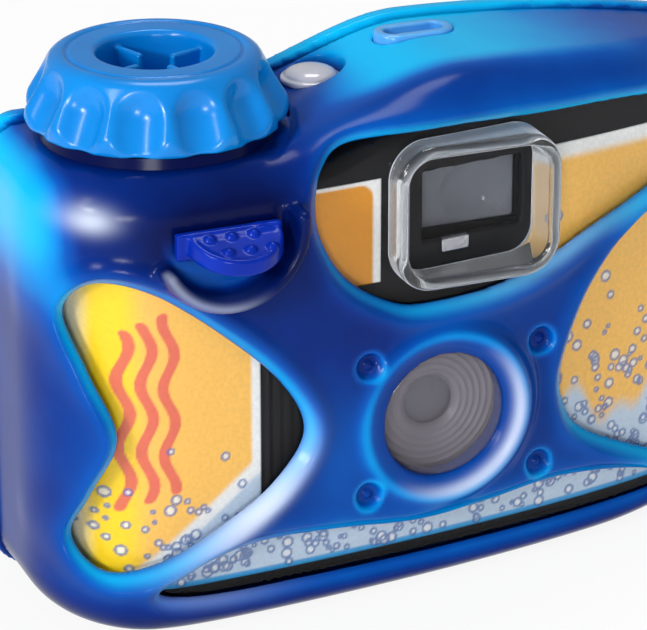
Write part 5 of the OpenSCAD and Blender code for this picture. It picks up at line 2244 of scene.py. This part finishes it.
@dataclass
class Springs:
    """Coil springs of the lever and the shutter blade."""

    sides: int = 10
    rings: int = 28
    coils: tuple[Coil, ...] = (
        Coil("lever_return_coil", "lever_spring", 3.1, 0.28, 3),
        Coil("blade_return_coil", "blade_spring", 1.5, 0.22, 2),
    )

    def wind(self, coil: Coil) -> bpy.types.Object:
        """Winds a wire through the space of a spring's solid.

        Args:
            coil: the spring.

        Returns:
            The wound piece.
        """
        low, high = solid_box(coil.node)
        middle, wire = (low + high) / 2, coil.wire
        count, sides = self.rings * coil.turns, self.sides
        t = np.arange(count + 1) / count
        a = 2 * math.pi * coil.turns * t[:, None]
        b = 2 * math.pi * np.arange(sides)[None, :] / sides
        r = coil.r + wire * np.cos(b)
        y = low[1] + wire + (high[1] - low[1] - 2 * wire) * t[:, None] + wire * np.sin(b)
        points = np.stack([middle[0] + r * np.cos(a), y, middle[2] + r * np.sin(a)], -1).reshape(-1, 3)
        k, j = np.meshgrid(np.arange(count), np.arange(sides), indexing="ij")
        q = (j + 1) % sides
        ahead = k + 1
        faces = np.stack([k * sides + j, ahead * sides + j, ahead * sides + q, k * sides + q], -1)
        ends = [points[:sides].mean(0)[None], points[-sides:].mean(0)[None]]
        ring = np.arange(sides)
        after = (ring + 1) % sides
        last = count * sides
        caps = [fan(ring, after, len(points)), fan(last + after, last + ring, len(points) + 1)]
        faces = np.concatenate([faces.reshape(-1, 4), *caps])
        return add_mesh(coil.name, np.concatenate([points, *ends]), faces)

    def build(self, steel: bpy.types.Material) -> None:
        """Winds and dresses both springs."""
        for coil in self.coils:
            place(self.wind(coil), Body.CASE, Slot.STEEL, steel, coil.node)


# Studio


@dataclass(frozen=True)
class SoftBox:
    """Soft lamp that faces the case, in metres and watts."""

    name: str
    where: tuple[float, float, float]
    size: Pair
    watts: float


@dataclass
class Studio:
    """Pale floor, soft lights and the camera at the photograph's angle."""

    image_w: int = 647
    focal_px: float = 3600.0
    sensor_mm: float = 36.0
    eye_mm: tuple[float, float, float] = (-208.196, -478.465, 258.176)
    azimuth: float = 22.304
    elevation: float = 22.93
    clip: Pair = (0.01, 20.0)
    aim: tuple[float, float, float] = (0.0, 0.0, 0.045)
    surround: float = 0.34
    floor_size: float = 6.0
    boxes: tuple[SoftBox, ...] = (
        SoftBox("front_box", (-0.40, -0.79, 0.135), (0.2, 0.14), 2.2),
        SoftBox("left_box", (-0.80, -0.47, 0.38), (0.16, 0.12), 3.4),
        SoftBox("wing_box", (-0.78, -0.30, 0.57), (0.12, 0.45), 2.2),
        SoftBox("top_box", (0.1, 0.2, 0.95), (0.4, 0.3), 3.0),
    )

    def camera(self) -> None:
        """Sets the camera."""
        data = bpy.data.cameras.new("camera")
        data.sensor_width = self.sensor_mm
        data.lens = self.focal_px / self.image_w * self.sensor_mm
        data.clip_start, data.clip_end = self.clip
        a, e = math.radians(self.azimuth), math.radians(self.elevation)
        back = Vector((-math.sin(a) * math.cos(e), -math.cos(a) * math.cos(e), math.sin(e)))
        camera = bpy.data.objects.new("camera", data)
        camera.location = Vector(self.eye_mm) * MM
        camera.rotation_euler = (-back).to_track_quat("-Z", "Y").to_euler()
        bpy.context.scene.collection.objects.link(camera)
        bpy.context.scene.camera = camera

    def hang(self, box: SoftBox) -> None:
        """Hangs one soft box.

        Args:
            box: the lamp.
        """
        data = bpy.data.lights.new(box.name, "AREA")
        data.shape = "RECTANGLE"
        data.size, data.size_y = box.size
        data.energy = box.watts
        lamp = bpy.data.objects.new(box.name, data)
        lamp.location = box.where
        lamp.rotation_euler = (Vector(self.aim) - Vector(box.where)).to_track_quat("-Z", "Y").to_euler()
        bpy.context.scene.collection.objects.link(lamp)

    def lights(self) -> None:
        """Hangs the soft boxes and sets the even surround."""
        for box in self.boxes:
            self.hang(box)
        world = bpy.data.worlds.new("white_surround")
        world.use_nodes = True
        tree = world.node_tree
        tree.nodes.clear()
        sky = add_node(tree, "Background", {"Color": linear("#ffffff"), "Strength": self.surround})
        add_node(tree, "OutputWorld", {"Surface": sky.outputs[0]})
        bpy.context.scene.world = world

    def floor(self) -> None:
        """Lays the paper floor."""
        bpy.ops.mesh.primitive_grid_add(x_subdivisions=4, y_subdivisions=4, size=self.floor_size)
        ground = bpy.context.object
        ground.name = "floor"
        ground.data.materials.append(PaperSweep().material())

    def build(self) -> None:
        """Sets up the whole studio."""
        self.camera()
        self.lights()
        self.floor()
        bpy.context.scene.view_settings.view_transform = "Standard"


def make_finishes() -> dict[Slot, bpy.types.Material]:
    """Makes the finish of every slot.

    Returns:
        Material of each slot.
    """
    # Tinted polycarbonate, moulded in a satin tool: deep blue with painted light up to cyan along thin edges
    # and painted highlights.
    tinted = TintedCase()
    made = {
        Slot.CASE_BLUE: tinted,
        Slot.GLAND_BLUE: tinted,
        # Clear acrylic sheet, polished: only its glancing reflections show.
        Slot.CLEAR_PANE: ClearSheet("window_acrylic_clear"),
        # Smoked acrylic, polished: a thin grey veil over the lens behind it.
        Slot.PORT_GLASS: ClearSheet("port_acrylic_smoked", haze=0.2),
        # Milky acrylic, moulded and glossy: a pale drop with one sharp highlight.
        Slot.COUNTER_DOME: Moulding("counter_acrylic_milky", "#e6e4ea", "#cfd0da", 0.1, coat=0.6),
        # Pale polycarbonate, moulded and glossy: a light blue ring on the deeper arch.
        Slot.SLOT_BLUE: Moulding("slot_polycarbonate_pale", "#62b2f0", "#4aa4ec", 0.2, coat=0.4),
        # ABS, moulded in a polished tool: even azure with soft gloss along the flutes.
        Slot.KNOB_BLUE: Moulding("knob_abs_azure_gloss", "#0086da", "#007cd0", 0.24, 1.36, 0.1),
        # Deep blue polycarbonate, moulded: darker than the case, with a mild gloss.
        Slot.LEVER_BLUE: Moulding("lever_polycarbonate_blue", "#0430b0", "#032492", 0.2, 1.25),
        # Nitrile rubber, moulded: dull black that swallows light.
        Slot.SEAL_RUBBER: Moulding("seal_nitrile_black", "#1a1a1c", "#101012", 0.7),
        # Spring steel, drawn: bright grey with a broken highlight.
        Slot.STEEL: DrawnMetal("spring_steel_drawn", "#c8c8cc", "#a8a8ae", 0.25),
        # Polystyrene, moulded: near black with a low sheen, so that the label stands out.
        Slot.INNER_BLACK: Moulding(
            "inner_polystyrene_black", "#17171a", "#101013", 0.45, 1.22, height_mm=0.0015),
        # Coated card, printed and varnished: clear colours under a soft sheen.
        Slot.LABEL_PRINT: PrintedCard(),
        # Optical acrylic, polished: grey and see-through, with a faint veil.
        Slot.LENS_CLEAR: ClearSheet("lens_acrylic_polished", "#e4e8ee", "#a4a8b2", 0.36),
        # Acetal, moulded: waxy orange.
        Slot.RELEASE_ORANGE: Moulding("release_acetal_orange", "#e06a10", "#c85c0c", 0.4),
        # Polystyrene, moulded: plain off-white.
        Slot.DISC_WHITE: Moulding("disc_polystyrene_white", "#e8e8e4", "#dcdcd6", 0.45),
        # Lacquered tinplate, rolled: warm gold with a broken highlight.
        Slot.CARTRIDGE_METAL: DrawnMetal("cartridge_tinplate_gold", "#d8a83a", "#c09028", 0.3),
        # Acetate film, coated: glossy dark brown.
        Slot.FILM: Moulding("film_acetate_coated", "#2a1c16", "#20140f", 0.2),
    }
    built = {finish: finish.material() for finish in dict.fromkeys(made.values())}
    return {slot: built[finish] for slot, finish in made.items()}


def dress_solids(finishes: dict[Slot, bpy.types.Material]) -> None:
    """Gives every solid that still shows the finish of its slot.

    Args:
        finishes: material of each slot.
    """
    slots = {row["node"]: Slot(row["material_slot"]) for row in frame["record"]["subparts"]}
    for name, solid in frame["nodes"].items():
        if solid.hide_render:
            continue
        solid.data.materials.clear()
        solid.data.materials.append(finishes[slots[name]])
        LOG.info("solid %s keeps its shape, finish %s", name, slots[name].value)


def main() -> None:
    """Builds the camera's looks piece by piece."""
    logging.basicConfig(level=logging.INFO, format="%(message)s")
    finishes = make_finishes()
    form = CaseForm()
    at = Places(form)
    windows = at.windows()
    Studio().build()
    Shells(form, at, windows).build(finishes[Slot.CASE_BLUE])
    clear = ClearParts(form, at, windows)
    clear.build(finishes[Slot.CLEAR_PANE], ClearMoulding().material(), finishes[Slot.PORT_GLASS])
    WindingKnob(at).build(finishes[Slot.KNOB_BLUE])
    ShutterLever(at).build(finishes[Slot.LEVER_BLUE])
    TopFittings(form, at).build(finishes[Slot.COUNTER_DOME], finishes[Slot.SLOT_BLUE])
    InnerCamera(form, at).build(finishes[Slot.INNER_BLACK], finishes[Slot.LABEL_PRINT], finishes[Slot.STEEL])
    # Grey polystyrene, moulded: its rings catch soft light behind the smoked port.
    retainer = Moulding("retainer_polystyrene_grey", "#98939c", "#88838c", 0.3)
    LensBarrel(at).build(retainer.material())
    FinderLens().build(finishes[Slot.LENS_CLEAR])
    Springs().build(finishes[Slot.STEEL])
    dress_solids(finishes)


if __name__ == "__main__":
    main()
